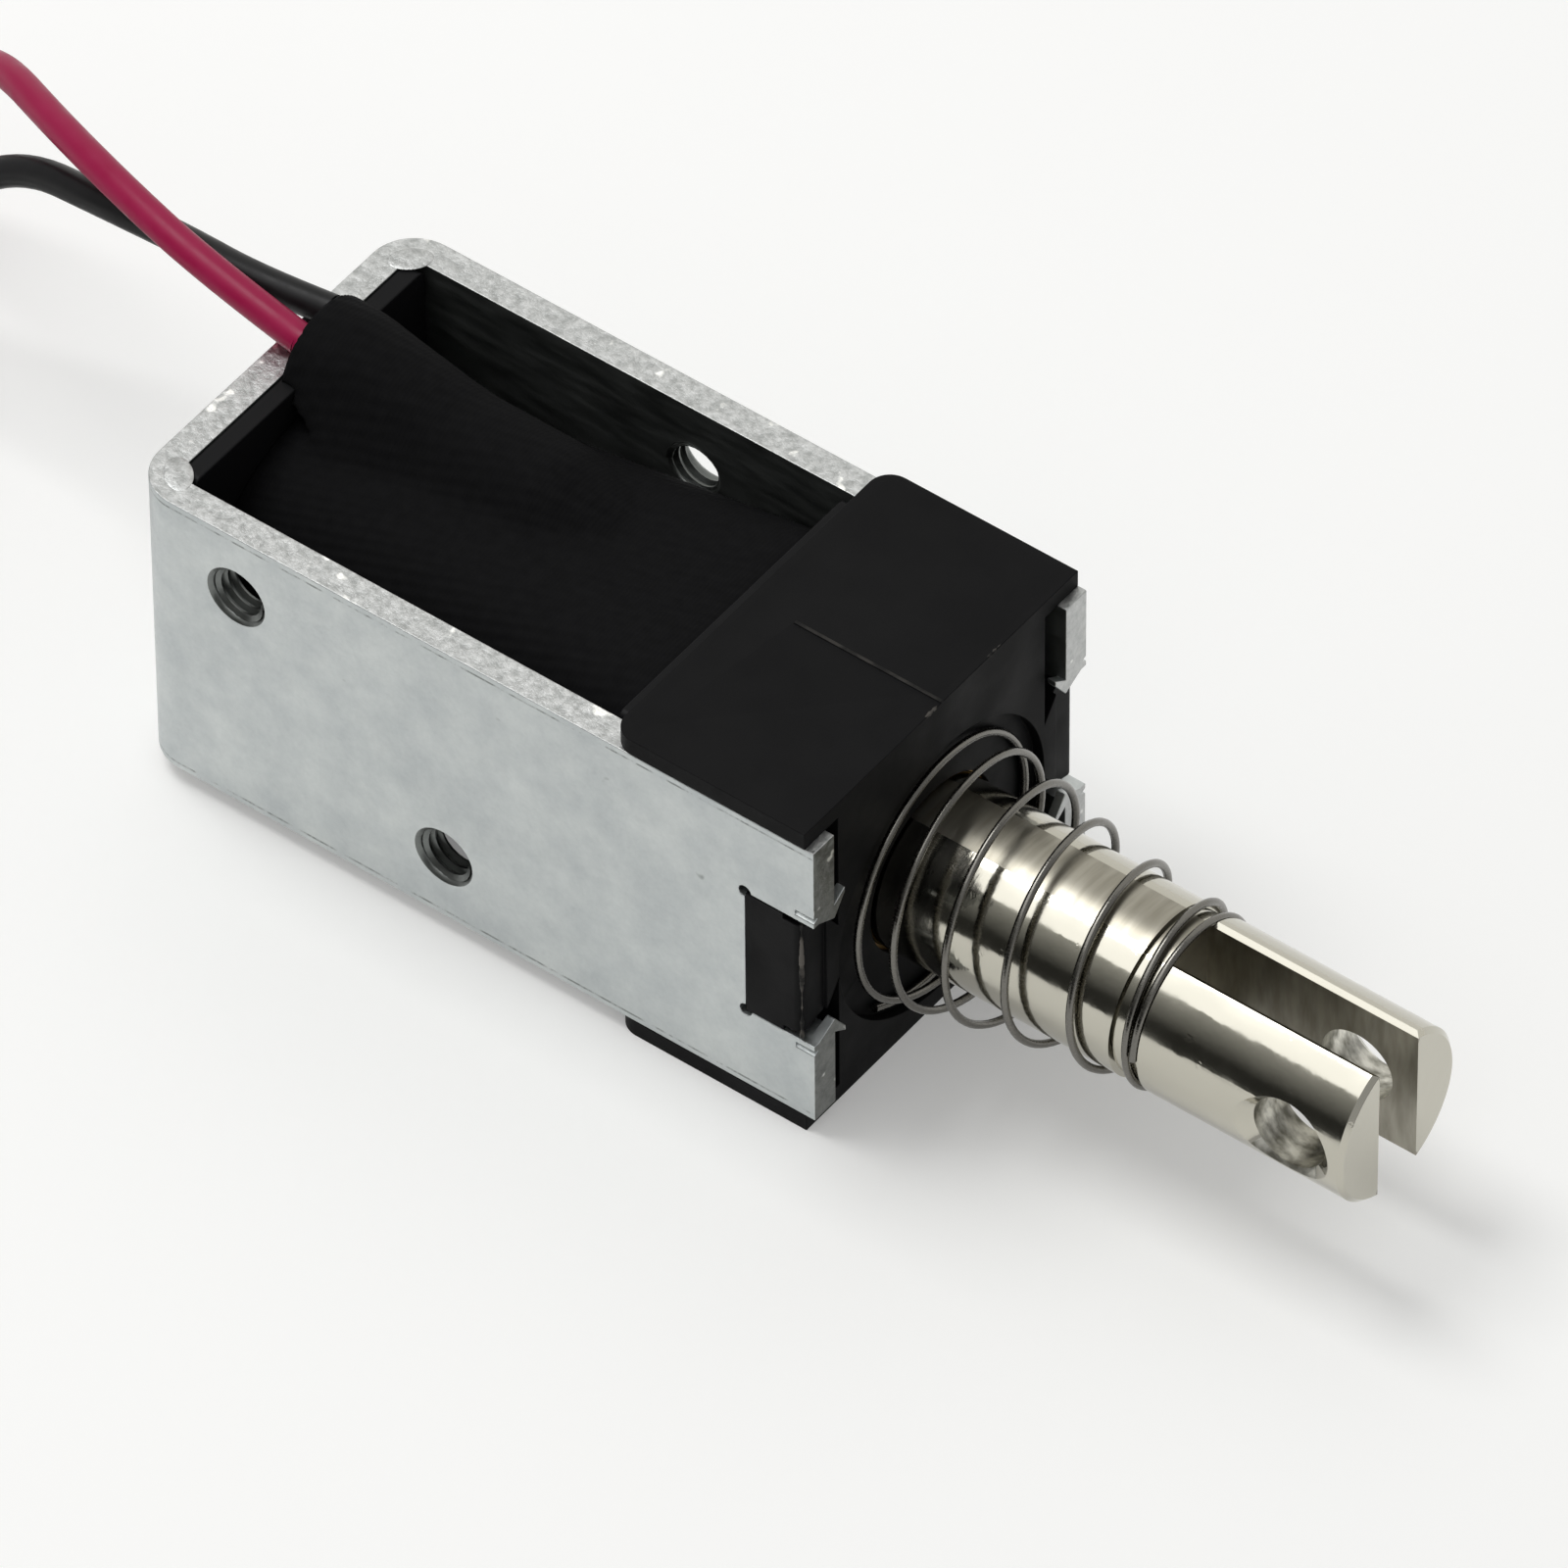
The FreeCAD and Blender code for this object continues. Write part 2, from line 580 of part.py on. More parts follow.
def build():
    pieces = {}
    pieces["frame"] = make_frame()
    pieces["end_block"] = make_end_block()
    pieces["front_pole_plate"] = make_pole_plate()
    pieces["guide_tube"] = make_guide_tube()
    pieces["fixed_core"] = make_fixed_core()
    pieces["core_shim"] = make_core_shim()
    pieces["bobbin"] = make_bobbin()
    pieces["coil_winding"] = make_winding()
    anchored = []
    for colour, y in (("red", red_y), ("black", black_y)):
        root = make_lead_root(y)
        sleeve = make_sleeve(y, root)
        pieces["lead_%s_root" % colour] = root
        pieces["lead_%s_splice_sleeve" % colour] = sleeve
        anchored += [root, sleeve]
    for colour, points in (("red", red_route), ("black", black_route)):
        coil = PutAwayCoil(points)
        ring = coil.ring()
        lead = tube(points, lead_r).cut([ring, pieces["lead_%s_root" % colour]])
        pieces["lead_%s_coil" % colour] = ring
        pieces["lead_%s" % colour] = lead
        pieces["lead_%s_end" % colour] = coil.tinned_end().cut(ring)
        anchored.append(lead)
    pieces["coil_tape"] = make_coil_tape(anchored + [pieces["bobbin"]])
    pieces["lead_tape"] = make_lead_tape(anchored + [pieces["bobbin"], pieces["coil_tape"]])
    pieces["plunger"] = make_plunger()
    pieces["return_spring"] = make_spring()
    return pieces


os.makedirs("parts", exist_ok=True)
for name, shape in build().items():
    shape.translate(origin * -1)
    shape.exportStep("parts/%s.step" % name)
    size = shape.BoundBox
    print("%-26s solids %d valid %s volume %9.2f  x %7.2f %7.2f  y %7.2f %7.2f  z %6.2f %6.2f" % (
        name, len(shape.Solids), shape.isValid(), shape.Volume, size.XMin, size.XMax,
        size.YMin, size.YMax, size.ZMin, size.ZMax))
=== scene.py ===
"""Push pull solenoid: the looks of every piece, the camera, the lights and the floor.

Metres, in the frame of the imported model: the origin on the surface that the solenoid stands on,
+X along the plunger, +Z up towards the leads. Named sizes are in millimetres, apart from those that
are written with MM.
"""
import bmesh
import bpy
import math
import random
from mathutils import Matrix, Vector


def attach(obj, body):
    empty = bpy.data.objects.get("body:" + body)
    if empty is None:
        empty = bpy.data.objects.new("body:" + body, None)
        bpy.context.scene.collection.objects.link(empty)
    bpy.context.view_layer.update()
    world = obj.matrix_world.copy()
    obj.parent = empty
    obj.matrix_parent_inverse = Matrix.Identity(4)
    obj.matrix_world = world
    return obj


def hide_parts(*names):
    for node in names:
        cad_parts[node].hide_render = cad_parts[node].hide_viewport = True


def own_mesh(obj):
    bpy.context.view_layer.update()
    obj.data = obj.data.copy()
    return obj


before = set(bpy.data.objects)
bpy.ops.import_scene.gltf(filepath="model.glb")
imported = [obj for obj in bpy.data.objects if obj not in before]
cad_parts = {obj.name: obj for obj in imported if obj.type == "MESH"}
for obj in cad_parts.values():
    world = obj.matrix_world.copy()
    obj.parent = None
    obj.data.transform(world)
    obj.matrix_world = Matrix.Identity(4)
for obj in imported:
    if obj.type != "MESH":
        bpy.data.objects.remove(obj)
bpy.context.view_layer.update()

MM = 0.001
MERGE = 0.001 * MM          # points closer than this are one
NEAR = 0.1                  # closer than this counts as on a face
OVER = 1.0                  # how far a cutter runs past what it cuts
SHARP = 35.0                # degrees: faces that meet at more than this have an edge between them

# Where the plunger's axis runs, and the back of the frame
AXIS_Z = 8.9 * MM
FRAME_BACK_X = -32.8 * MM

# Frame
FRAME_LENGTH = 40.0
FRAME_RISE = 1.1            # middle of the strip above the plunger's axis
STRIP_HEIGHT = 18.0
HALF_WIDTH = 10.5
SHEET = 1.6
TAP_REAR_X = 6.3
TAP_PITCH_X = 12.0
TAP_OFFSET_Z = 5.0
TAP_MINOR_R = 1.25          # M3 threads
TAP_MAJOR_R = 1.5
THREAD_PITCH = 0.5
THREAD_CREST_HALF = 0.05    # half of a ridge's width at its crest, and at its root
THREAD_ROOT_HALF = 0.24
THREAD_SINK = 0.02          # of the root in the wall
THREAD_START = 0.3          # below the wall's outer face
THREAD_SHORT = 0.35         # of the wall's thickness
THREAD_STEPS = 24           # a turn
BULGE_HALVES = (0.7, 1.1, 0.05)
BULGE_OFFSET = 0.1          # out of the inner corner, both ways
BURR_SHADOW_DROP = 0.36      # of the broken dark line painted below the strip's edges as the burr's shadow
BURR_SHADOW_HALF = 0.06

# Fixed core: the widths of the rivet's rim and of the slope inside it, and the slope's depth
RIVET_RIM = 0.9
RIVET_SLOPE = 0.5
RIVET_DISH = 0.3

# Block's face and the flash on its front edge
BLOCK_FACE_X = 39.5
CAP_TOP_Z = 11.1
FLASH_R = 0.13
FLASH_STEP = 0.16
FLASH_THINNEST = 0.12       # share of its radius where it has broken off
FLASH_CHANGE = 0.3          # in that share, from one step to the next
FLASH_SINK = 0.06
TOP_FLASH_X = BLOCK_FACE_X - 0.07
SIDE_FLASH_X = BLOCK_FACE_X - 0.26
FLASH_ENDS = (((TOP_FLASH_X, 7.4, CAP_TOP_Z - FLASH_SINK), (TOP_FLASH_X, -1.2, CAP_TOP_Z - FLASH_SINK)),
              ((SIDE_FLASH_X, FLASH_SINK - HALF_WIDTH, 4.9), (SIDE_FLASH_X, FLASH_SINK - HALF_WIDTH, -2.7)))
SEAM_HALF = 0.07
SEAM_RISE = 0.03            # more than this above the caps is the seam

# Plunger
PLUNGER_R = 4.5
REAR_X = 22.4
TIP_X = 65.6
TIP_CHAMFER = 0.25
SLOT_HALF = 1.5
SLOT_CHAMFER = 0.28
FILE_WIDTH = 2.0
SLOT_ROOT_X = 53.6
EYE_X = 62.2
EYE_R = 2.0
EYE_CHAMFER = 0.45
GROOVE_DEPTH = 0.25
GROOVE_LENGTH = 1.65
GROOVE_END_X = 54.05
GROOVE_SLOPE = 0.1
TURNED_FACETS = 128
EYE_FACETS = 72

# Return spring, as the solid of it: radii and pitches at each whole turn
WIRE_R = 0.2
SEAT_X = 38.9
SPRING_SEAT_GAP = 0.05
GRIP_CLEAR = 0.04
GRIP_END_GAP = 0.05
COIL_OUTER_RADII = (7.1, 6.75, 6.3, 5.65, 5.2, 4.9)
COIL_PITCHES = (1.4, 2.45, 2.8, 3.45, 3.45)
GRIP_TURNS = (0.21, 0.42, 1.0, 1.36)     # past the last whole turn, in the groove
GRIP_SHARES = (0.43, 0.65, 1.0, 1.0)     # of the way from there to the groove's end
TAIL_TURNS = 0.5
TAIL_ANGLE = 50.0           # degrees
TAIL_FLARE = 0.55
SPRING_STEPS = 24           # a turn

# Coil's wrap
WINDING_R = 7.3
WRAP_REAR_X = 2.6
WRAP_FRONT_X = 27.3
TAPE_VOXEL = 0.22
SMOOTHED_FROM = ((WRAP_REAR_X - 0.8, 5), (WRAP_REAR_X + 0.1, 5), (8.0, 16))     # X, rounds
WRAP_MEAN_R = 8.0
RIB_SPACING = 0.5           # of the weave's ribs, and of the finer threads across them
CROSS_SPACING = 0.22
RIB_TILT = 14.0             # degrees

# Leads: insulated wire, put away as flat spirals
LEAD_D = 1.6 * MM
STRAND_R = 0.76 / 6 * MM    # seven strands, 0.76 mm across
STRAND_STEP = 1.98          # from the middle strand to the others, in strand radii
STRAND_TWIST = math.radians(300)
STRAND_STEPS = 24
TINNED_LENGTH = 5.0 * MM
LEAD_LENGTH = 150.0 * MM
COIL_ACROSS = 16.0 * MM
SPIRAL_STEPS = 20           # a turn
SPIRAL_LEFT_OPEN = 0.06     # turns before its end, where the bare end turns in
END_TURN_IN = math.radians(50)


def at(x, y, z):
    """A point given from the frame's back and the plunger's axis, in millimetres."""
    return Vector((FRAME_BACK_X + x * MM, y * MM, AXIS_Z + z * MM))


RED_ROUTE = [at(1.5, 0.8, 11.05), at(-4.5, 1.3, 11.8), at(-10.2, 2.6, 12.1), at(-16.3, 4.9, 11.3),
             at(-22.6, 8.2, 9.3), at(-26.6, 10.1, 5.0), at(-29.6, 11.1, -0.6), at(-32.6, 11.4, -6.0),
             at(-38.0, 11.1, -8.05), at(-43.6, 11.3, -8.05), at(-49.2, 11.9, -8.05)]
BLACK_ROUTE = [at(1.5, 3.2, 11.05), at(-2.7, 2.85, 10.75), at(-7.5, 3.4, 10.1), at(-12.7, 4.0, 9.0),
               at(-18.9, 5.1, 7.2), at(-23.0, 4.0, 3.4), at(-27.6, 5.0, -1.6), at(-31.9, 5.6, -6.2),
               at(-35.3, 3.0, -8.05), at(-37.1, -1.2, -8.05)]
RED_ROUTE_LENGTH = 61.1 * MM        # of the wire that runs along each route
BLACK_ROUTE_LENGTH = 48.4 * MM

WORLD_STRENGTH = 0.45
FLOOR_HALF = 3.0            # metres, as the lamps and cards
FLOOR_LIFT = 0.2            # brings the seen floor to white


def linear(hex_code):
    """An sRGB hex colour as linear RGBA."""
    channels = [int(hex_code[i:i + 2], 16) / 255 for i in (1, 3, 5)]
    return [c / 12.92 if c <= 0.04045 else ((c + 0.055) / 1.055) ** 2.4 for c in channels] + [1.0]


def add(tree, kind, settings=None, links=None):
    """A node with its settings, by attribute, input name or input number, and its inputs' links."""
    node = tree.nodes.new(kind)
    for name, value in (settings or {}).items():
        if isinstance(name, str) and hasattr(node, name):
            setattr(node, name, value)
        else:
            node.inputs[name].default_value = value
    for name, socket in (links or {}).items():
        tree.links.new(socket, node.inputs[name])
    return node


def new_material(name, colour, roughness, metallic=0.0, more=None):
    """A material with its shader set, and what patterns hang on: its tree, shader and coordinates."""
    material = bpy.data.materials.new(name)
    material.use_nodes = True
    tree = material.node_tree
    shader = tree.nodes["Principled BSDF"]
    settings = {"Base Color": linear(colour), "Roughness": roughness, "Metallic": metallic}
    settings.update(more or {})
    for socket, value in settings.items():
        shader.inputs[socket].default_value = value
    place = add(tree, "ShaderNodeTexCoord").outputs["Object"]
    return material, tree, shader, place


def zinc_plate():
    """Mild steel strip, zinc plated with a clear passivate: a soft grey shine, faintly clouded.

    The plating's grit, about 0.2 mm, breaks up reflections, handling leaves a few dark specks, and a
    broken dark line is painted just below the edges as the shadow under the shear burr.
    """
    material, tree, shader, place = new_material("zinc_plated_steel", "#c3c6c5", 0.42, 1.0)
    clouds = add(tree, "ShaderNodeTexNoise", {"Scale": 1 / (3.6 * MM), "Detail": 7.0, "Roughness": 0.7},
                 {"Vector": place})
    spread = add(tree, "ShaderNodeMapRange", {"From Min": 0.34, "From Max": 0.66},
                 {"Value": clouds.outputs["Fac"]})
    tint = add(tree, "ShaderNodeMix", {"data_type": "RGBA", 6: linear("#babfc0"), 7: linear("#cdd1d0")},
               {0: spread.outputs["Result"]})
    specks = add(tree, "ShaderNodeTexNoise", {"Scale": 1 / (1.3 * MM), "Detail": 2.0}, {"Vector": place})
    speck = add(tree, "ShaderNodeMapRange", {"From Min": 0.74, "From Max": 0.82, "To Max": 0.7},
                {"Value": specks.outputs["Fac"]})
    parts = add(tree, "ShaderNodeSeparateXYZ", links={"Vector": place})
    above = add(tree, "ShaderNodeMath", {"operation": "SUBTRACT", 1: AXIS_Z + FRAME_RISE * MM},
                {0: parts.outputs["Z"]})
    away = add(tree, "ShaderNodeMath", {"operation": "ABSOLUTE"}, {0: above.outputs["Value"]})
    # painted shadow: a broken dark line below the strip's edges, standing for the shade under the shear
    # burr
    near_burr_shadow = add(tree, "ShaderNodeMath", {"operation": "COMPARE", 2: BURR_SHADOW_HALF * MM,
                                             1: (STRIP_HEIGHT / 2 - BURR_SHADOW_DROP) * MM},
                    {0: away.outputs["Value"]})
    torn = add(tree, "ShaderNodeTexNoise", {"Scale": 1 / (0.9 * MM), "Detail": 4.0, "Roughness": 0.7},
               {"Vector": place})
    torn_share = add(tree, "ShaderNodeMapRange", {"From Min": 0.42, "From Max": 0.6, "To Max": 0.85},
                     {"Value": torn.outputs["Fac"]})
    line = add(tree, "ShaderNodeMath", {"operation": "MULTIPLY"},
               {0: near_burr_shadow.outputs["Value"], 1: torn_share.outputs["Result"]})
    dark = add(tree, "ShaderNodeMath", {"operation": "MAXIMUM"},
               {0: line.outputs["Value"], 1: speck.outputs["Result"]})
    colour = add(tree, "ShaderNodeMix", {"data_type": "RGBA", 7: linear("#7c807e")},
                 {0: dark.outputs["Value"], 6: tint.outputs[2]})
    tree.links.new(colour.outputs[2], shader.inputs["Base Color"])
    grit = add(tree, "ShaderNodeTexNoise", {"Scale": 1 / (0.2 * MM), "Detail": 3.0, "Roughness": 0.6},
               {"Vector": place})
    sheen = add(tree, "ShaderNodeMapRange", {"From Min": 0.3, "From Max": 0.7, "To Min": 0.36,
                                             "To Max": 0.5}, {"Value": grit.outputs["Fac"]})
    tree.links.new(sheen.outputs["Result"], shader.inputs["Roughness"])
    bump = add(tree, "ShaderNodeBump", {"Strength": 0.35, "Distance": 0.012 * MM},
               {"Height": grit.outputs["Fac"]})
    tree.links.new(bump.outputs["Normal"], shader.inputs["Normal"])
    return material


def sheared_zinc(name, low, high):
    """The strip's sheared and plated edge, torn across its thickness, with small near-white glints painted
    into its colour.
    """
    material, tree, shader, place = new_material(name, high, 0.38, 1.0)
    tear = add(tree, "ShaderNodeTexNoise", {"Scale": 1 / (0.5 * MM), "Detail": 5.0, "Roughness": 0.7},
               {"Vector": place})
    share = add(tree, "ShaderNodeMapRange", {"From Min": 0.36, "From Max": 0.64},
                {"Value": tear.outputs["Fac"]})
    tint = add(tree, "ShaderNodeMix", {"data_type": "RGBA", 6: linear(low), 7: linear(high)},
               {0: share.outputs["Result"]})
    # painted highlight: near-white spots in the colour stand for glints on the sheared edge
    glint_noise = add(tree, "ShaderNodeTexNoise", {"Scale": 1 / (1.1 * MM), "Detail": 2.0}, {"Vector": place})
    painted_glint = add(tree, "ShaderNodeMapRange", {"From Min": 0.66, "From Max": 0.72},
                {"Value": glint_noise.outputs["Fac"]})
    colour = add(tree, "ShaderNodeMix", {"data_type": "RGBA", 7: linear("#f6f6f2")},
                 {0: painted_glint.outputs["Result"], 6: tint.outputs[2]})
    tree.links.new(colour.outputs[2], shader.inputs["Base Color"])
    sheen = add(tree, "ShaderNodeMapRange", {"From Min": 0.35, "From Max": 0.65, "To Min": 0.28,
                                             "To Max": 0.5}, {"Value": tear.outputs["Fac"]})
    tree.links.new(sheen.outputs["Result"], shader.inputs["Roughness"])
    bump = add(tree, "ShaderNodeBump", {"Strength": 0.8, "Distance": 0.07 * MM},
               {"Height": tear.outputs["Fac"]})
    tree.links.new(bump.outputs["Normal"], shader.inputs["Normal"])
    return material


def black_nylon(name, colour, roughness, grain_mm, grain_depth):
    """Glass filled black nylon, moulded against a lightly textured tool: a dull black with a soft sheen."""
    material, tree, shader, place = new_material(name, colour, roughness,
                                                 more={"Specular IOR Level": 0.08})
    grain = add(tree, "ShaderNodeTexNoise", {"Scale": 1 / (grain_mm * MM), "Detail": 3.0,
                                             "Roughness": 0.6}, {"Vector": place})
    flow = add(tree, "ShaderNodeTexNoise", {"Scale": 1 / (3.0 * MM), "Detail": 3.0}, {"Vector": place})
    sheen = add(tree, "ShaderNodeMapRange", {"From Min": 0.35, "From Max": 0.65, "To Min": roughness - 0.06,
                                             "To Max": roughness + 0.06}, {"Value": flow.outputs["Fac"]})
    tree.links.new(sheen.outputs["Result"], shader.inputs["Roughness"])
    bump = add(tree, "ShaderNodeBump", {"Strength": 0.5, "Distance": grain_depth * MM},
               {"Height": grain.outputs["Fac"]})
    tree.links.new(bump.outputs["Normal"], shader.inputs["Normal"])
    return material


def pale_nylon_highlight(name, low, high):
    """Nylon in pale patches painted as highlights where it stands proud, black between them."""
    material, tree, shader, place = new_material(name, high, 0.6, more={"Specular IOR Level": 0.12})
    # painted highlight: noise picks pale patches that stand for light caught on raised seam and flash
    breaks = add(tree, "ShaderNodeTexNoise", {"Scale": 1 / (1.2 * MM), "Detail": 3.0}, {"Vector": place})
    share = add(tree, "ShaderNodeMapRange", {"From Min": 0.42, "From Max": 0.58},
                {"Value": breaks.outputs["Fac"]})
    tint = add(tree, "ShaderNodeMix", {"data_type": "RGBA", 6: linear(low), 7: linear(high)},
               {0: share.outputs["Result"]})
    tree.links.new(tint.outputs[2], shader.inputs["Base Color"])
    return material


def cloth_tape():
    """Acetate cloth tape, black: dull, with ribs of the weave that run nearly along the coil."""
    material, tree, shader, place = new_material("black_cloth_tape", "#0b0b0c", 0.8,
                                                 more={"Specular IOR Level": 0.07})
    parts = add(tree, "ShaderNodeSeparateXYZ", links={"Vector": place})
    above = add(tree, "ShaderNodeMath", {"operation": "SUBTRACT", 1: AXIS_Z}, {0: parts.outputs["Z"]})
    round_coil = add(tree, "ShaderNodeMath", {"operation": "ARCTAN2"},
                     {0: parts.outputs["Y"], 1: above.outputs["Value"]})
    along_wrap = add(tree, "ShaderNodeMath", {"operation": "MULTIPLY", 1: WRAP_MEAN_R * MM},
                     {0: round_coil.outputs["Value"]})
    climb = add(tree, "ShaderNodeMath", {"operation": "MULTIPLY", 1: -math.tan(math.radians(RIB_TILT))},
                {0: parts.outputs["X"]})
    across_ribs = add(tree, "ShaderNodeMath", {"operation": "ADD"},
                      {0: along_wrap.outputs["Value"], 1: climb.outputs["Value"]})
    rib_phase = add(tree, "ShaderNodeMath", {"operation": "MULTIPLY", 1: 2 * math.pi / (RIB_SPACING * MM)},
                    {0: across_ribs.outputs["Value"]})
    ribs = add(tree, "ShaderNodeMath", {"operation": "SINE"}, {0: rib_phase.outputs["Value"]})
    cross_phase = add(tree, "ShaderNodeMath", {"operation": "MULTIPLY",
                                               1: 2 * math.pi / (CROSS_SPACING * MM)},
                      {0: parts.outputs["X"]})
    cross = add(tree, "ShaderNodeMath", {"operation": "SINE"}, {0: cross_phase.outputs["Value"]})
    fuzz = add(tree, "ShaderNodeTexNoise", {"Scale": 1 / (0.6 * MM), "Detail": 4.0}, {"Vector": place})
    weave = add(tree, "ShaderNodeMath", {"operation": "MULTIPLY_ADD", 1: 0.35},
                {0: cross.outputs["Value"], 2: ribs.outputs["Value"]})
    height = add(tree, "ShaderNodeMath", {"operation": "MULTIPLY_ADD", 1: 2.0},
                 {0: fuzz.outputs["Fac"], 2: weave.outputs["Value"]})
    bump = add(tree, "ShaderNodeBump", {"Strength": 0.55, "Distance": 0.016 * MM},
               {"Height": height.outputs["Value"]})
    tree.links.new(bump.outputs["Normal"], shader.inputs["Normal"])
    dust = add(tree, "ShaderNodeMix", {"data_type": "RGBA", 6: linear("#070708"), 7: linear("#131314")},
               {0: fuzz.outputs["Fac"]})
    tree.links.new(dust.outputs[2], shader.inputs["Base Color"])
    return material


def turned_nickel():
    """Free cutting steel, turned and bright nickel plated: a warm mirror with faint rings and a few nicks.

    Real turning marks are about 0.05 mm apart; they are drawn at 0.16 mm so that they show. The plate
    lies in a soft ripple, about 1.6 mm long, that makes the edges of reflections waver.
    """
    material, tree, shader, place = new_material("turned_nickel_plate", "#bfbcb0", 0.12, 1.0)
    spread = add(tree, "ShaderNodeMapping", {"Scale": (1 / (0.16 * MM), 1 / (6.0 * MM), 1 / (6.0 * MM))},
                 {"Vector": place})
    rings = add(tree, "ShaderNodeTexNoise", {"Scale": 1.0, "Detail": 2.0},
                {"Vector": spread.outputs["Vector"]})
    nicks = add(tree, "ShaderNodeTexNoise", {"Scale": 1 / (0.8 * MM), "Detail": 3.0}, {"Vector": place})
    nick = add(tree, "ShaderNodeMapRange", {"From Min": 0.66, "From Max": 0.74},
               {"Value": nicks.outputs["Fac"]})
    ripple = add(tree, "ShaderNodeTexNoise", {"Scale": 1 / (1.6 * MM), "Detail": 3.0}, {"Vector": place})
    marks = add(tree, "ShaderNodeMath", {"operation": "MULTIPLY_ADD", 1: -3.0},
                {0: nick.outputs["Result"], 2: rings.outputs["Fac"]})
    height = add(tree, "ShaderNodeMath", {"operation": "MULTIPLY_ADD", 1: 12.0},
                 {0: ripple.outputs["Fac"], 2: marks.outputs["Value"]})
    bump = add(tree, "ShaderNodeBump", {"Strength": 0.3, "Distance": 0.006 * MM},
               {"Height": height.outputs["Value"]})
    tree.links.new(bump.outputs["Normal"], shader.inputs["Normal"])
    clouds = add(tree, "ShaderNodeTexNoise", {"Scale": 1 / (2.5 * MM), "Detail": 4.0}, {"Vector": place})
    sheen = add(tree, "ShaderNodeMapRange", {"From Min": 0.35, "From Max": 0.7, "To Min": 0.07,
                                             "To Max": 0.18}, {"Value": clouds.outputs["Fac"]})
    tree.links.new(sheen.outputs["Result"], shader.inputs["Roughness"])
    return material


def milled_nickel(name, low, high, grain, bump_depth):
    """The same plate over milled or drilled faces: duller and browner, with the cutter's marks. The drilled
    eye's copy is given pale colours as a painted reflection.
    """
    material, tree, shader, place = new_material(name, high, 0.33, 1.0)
    spread = add(tree, "ShaderNodeMapping", {"Scale": [1 / (size * MM) for size in grain]},
                 {"Vector": place})
    marks = add(tree, "ShaderNodeTexNoise", {"Scale": 1.0, "Detail": 3.0},
                {"Vector": spread.outputs["Vector"]})
    share = add(tree, "ShaderNodeMapRange", {"From Min": 0.35, "From Max": 0.65},
                {"Value": marks.outputs["Fac"]})
    tint = add(tree, "ShaderNodeMix", {"data_type": "RGBA", 6: linear(low), 7: linear(high)},
               {0: share.outputs["Result"]})
    tree.links.new(tint.outputs[2], shader.inputs["Base Color"])
    bump = add(tree, "ShaderNodeBump", {"Strength": 0.5, "Distance": bump_depth * MM},
               {"Height": marks.outputs["Fac"]})
    tree.links.new(bump.outputs["Normal"], shader.inputs["Normal"])
    return material


def drawn_metal(name, colour, roughness, grain=(4.0, 0.12, 0.12)):
    """Drawn wire, tube or bar: a metal with fine draw lines along it."""
    material, tree, shader, place = new_material(name, colour, roughness, 1.0)
    spread = add(tree, "ShaderNodeMapping", {"Scale": [1 / (size * MM) for size in grain]},
                 {"Vector": place})
    lines = add(tree, "ShaderNodeTexNoise", {"Scale": 1.0, "Detail": 2.0},
                {"Vector": spread.outputs["Vector"]})
    sheen = add(tree, "ShaderNodeMapRange", {"From Min": 0.3, "From Max": 0.7, "To Min": roughness - 0.08,
                                             "To Max": roughness + 0.08}, {"Value": lines.outputs["Fac"]})
    tree.links.new(sheen.outputs["Result"], shader.inputs["Roughness"])
    bump = add(tree, "ShaderNodeBump", {"Strength": 0.3, "Distance": 0.01 * MM},
               {"Height": lines.outputs["Fac"]})
    tree.links.new(bump.outputs["Normal"], shader.inputs["Normal"])
    return material


def magnet_wire():
    """Copper magnet wire under amber enamel, wound in close turns 0.2 mm apart."""
    material, tree, shader, place = new_material("enamelled_copper_winding", "#b0562b", 0.3, 1.0,
                                                 {"Coat Weight": 0.6, "Coat Roughness": 0.12})
    parts = add(tree, "ShaderNodeSeparateXYZ", links={"Vector": place})
    phase = add(tree, "ShaderNodeMath", {"operation": "MULTIPLY", 1: 2 * math.pi / (0.2 * MM)},
                {0: parts.outputs["X"]})
    turns = add(tree, "ShaderNodeMath", {"operation": "SINE"}, {0: phase.outputs["Value"]})
    bump = add(tree, "ShaderNodeBump", {"Strength": 0.8, "Distance": 0.04 * MM},
               {"Height": turns.outputs["Value"]})
    tree.links.new(bump.outputs["Normal"], shader.inputs["Normal"])
    return material


def soft_pvc(name, colour, dusty, roughness=0.36):
    """Extruded soft PVC: a waxy shine, a little uneven where it has been handled."""
    material, tree, shader, place = new_material(name, colour, roughness,
                                                 more={"Specular IOR Level": 0.2})
    handled = add(tree, "ShaderNodeTexNoise", {"Scale": 1 / (1.4 * MM), "Detail": 4.0, "Roughness": 0.6},
                  {"Vector": place})
    tint = add(tree, "ShaderNodeMix", {"data_type": "RGBA", 6: linear(colour), 7: linear(dusty)},
               {0: handled.outputs["Fac"]})
    tree.links.new(tint.outputs[2], shader.inputs["Base Color"])
    sheen = add(tree, "ShaderNodeMapRange", {"From Min": 0.3, "From Max": 0.7, "To Min": roughness - 0.08,
                                             "To Max": roughness + 0.12}, {"Value": handled.outputs["Fac"]})
    tree.links.new(sheen.outputs["Result"], shader.inputs["Roughness"])
    bump = add(tree, "ShaderNodeBump", {"Strength": 0.3, "Distance": 0.02 * MM},
               {"Height": handled.outputs["Fac"]})
    tree.links.new(bump.outputs["Normal"], shader.inputs["Normal"])
    return material


def new_object(name, data):
    """An object in the scene's collection."""
    obj = bpy.data.objects.new(name, data)
    bpy.context.collection.objects.link(obj)
    return obj


def finished_mesh(obj):
    """The mesh of an object as its modifiers, or its curve's own settings, leave it."""
    depsgraph = bpy.context.evaluated_depsgraph_get()
    return bpy.data.meshes.new_from_object(obj.evaluated_get(depsgraph))


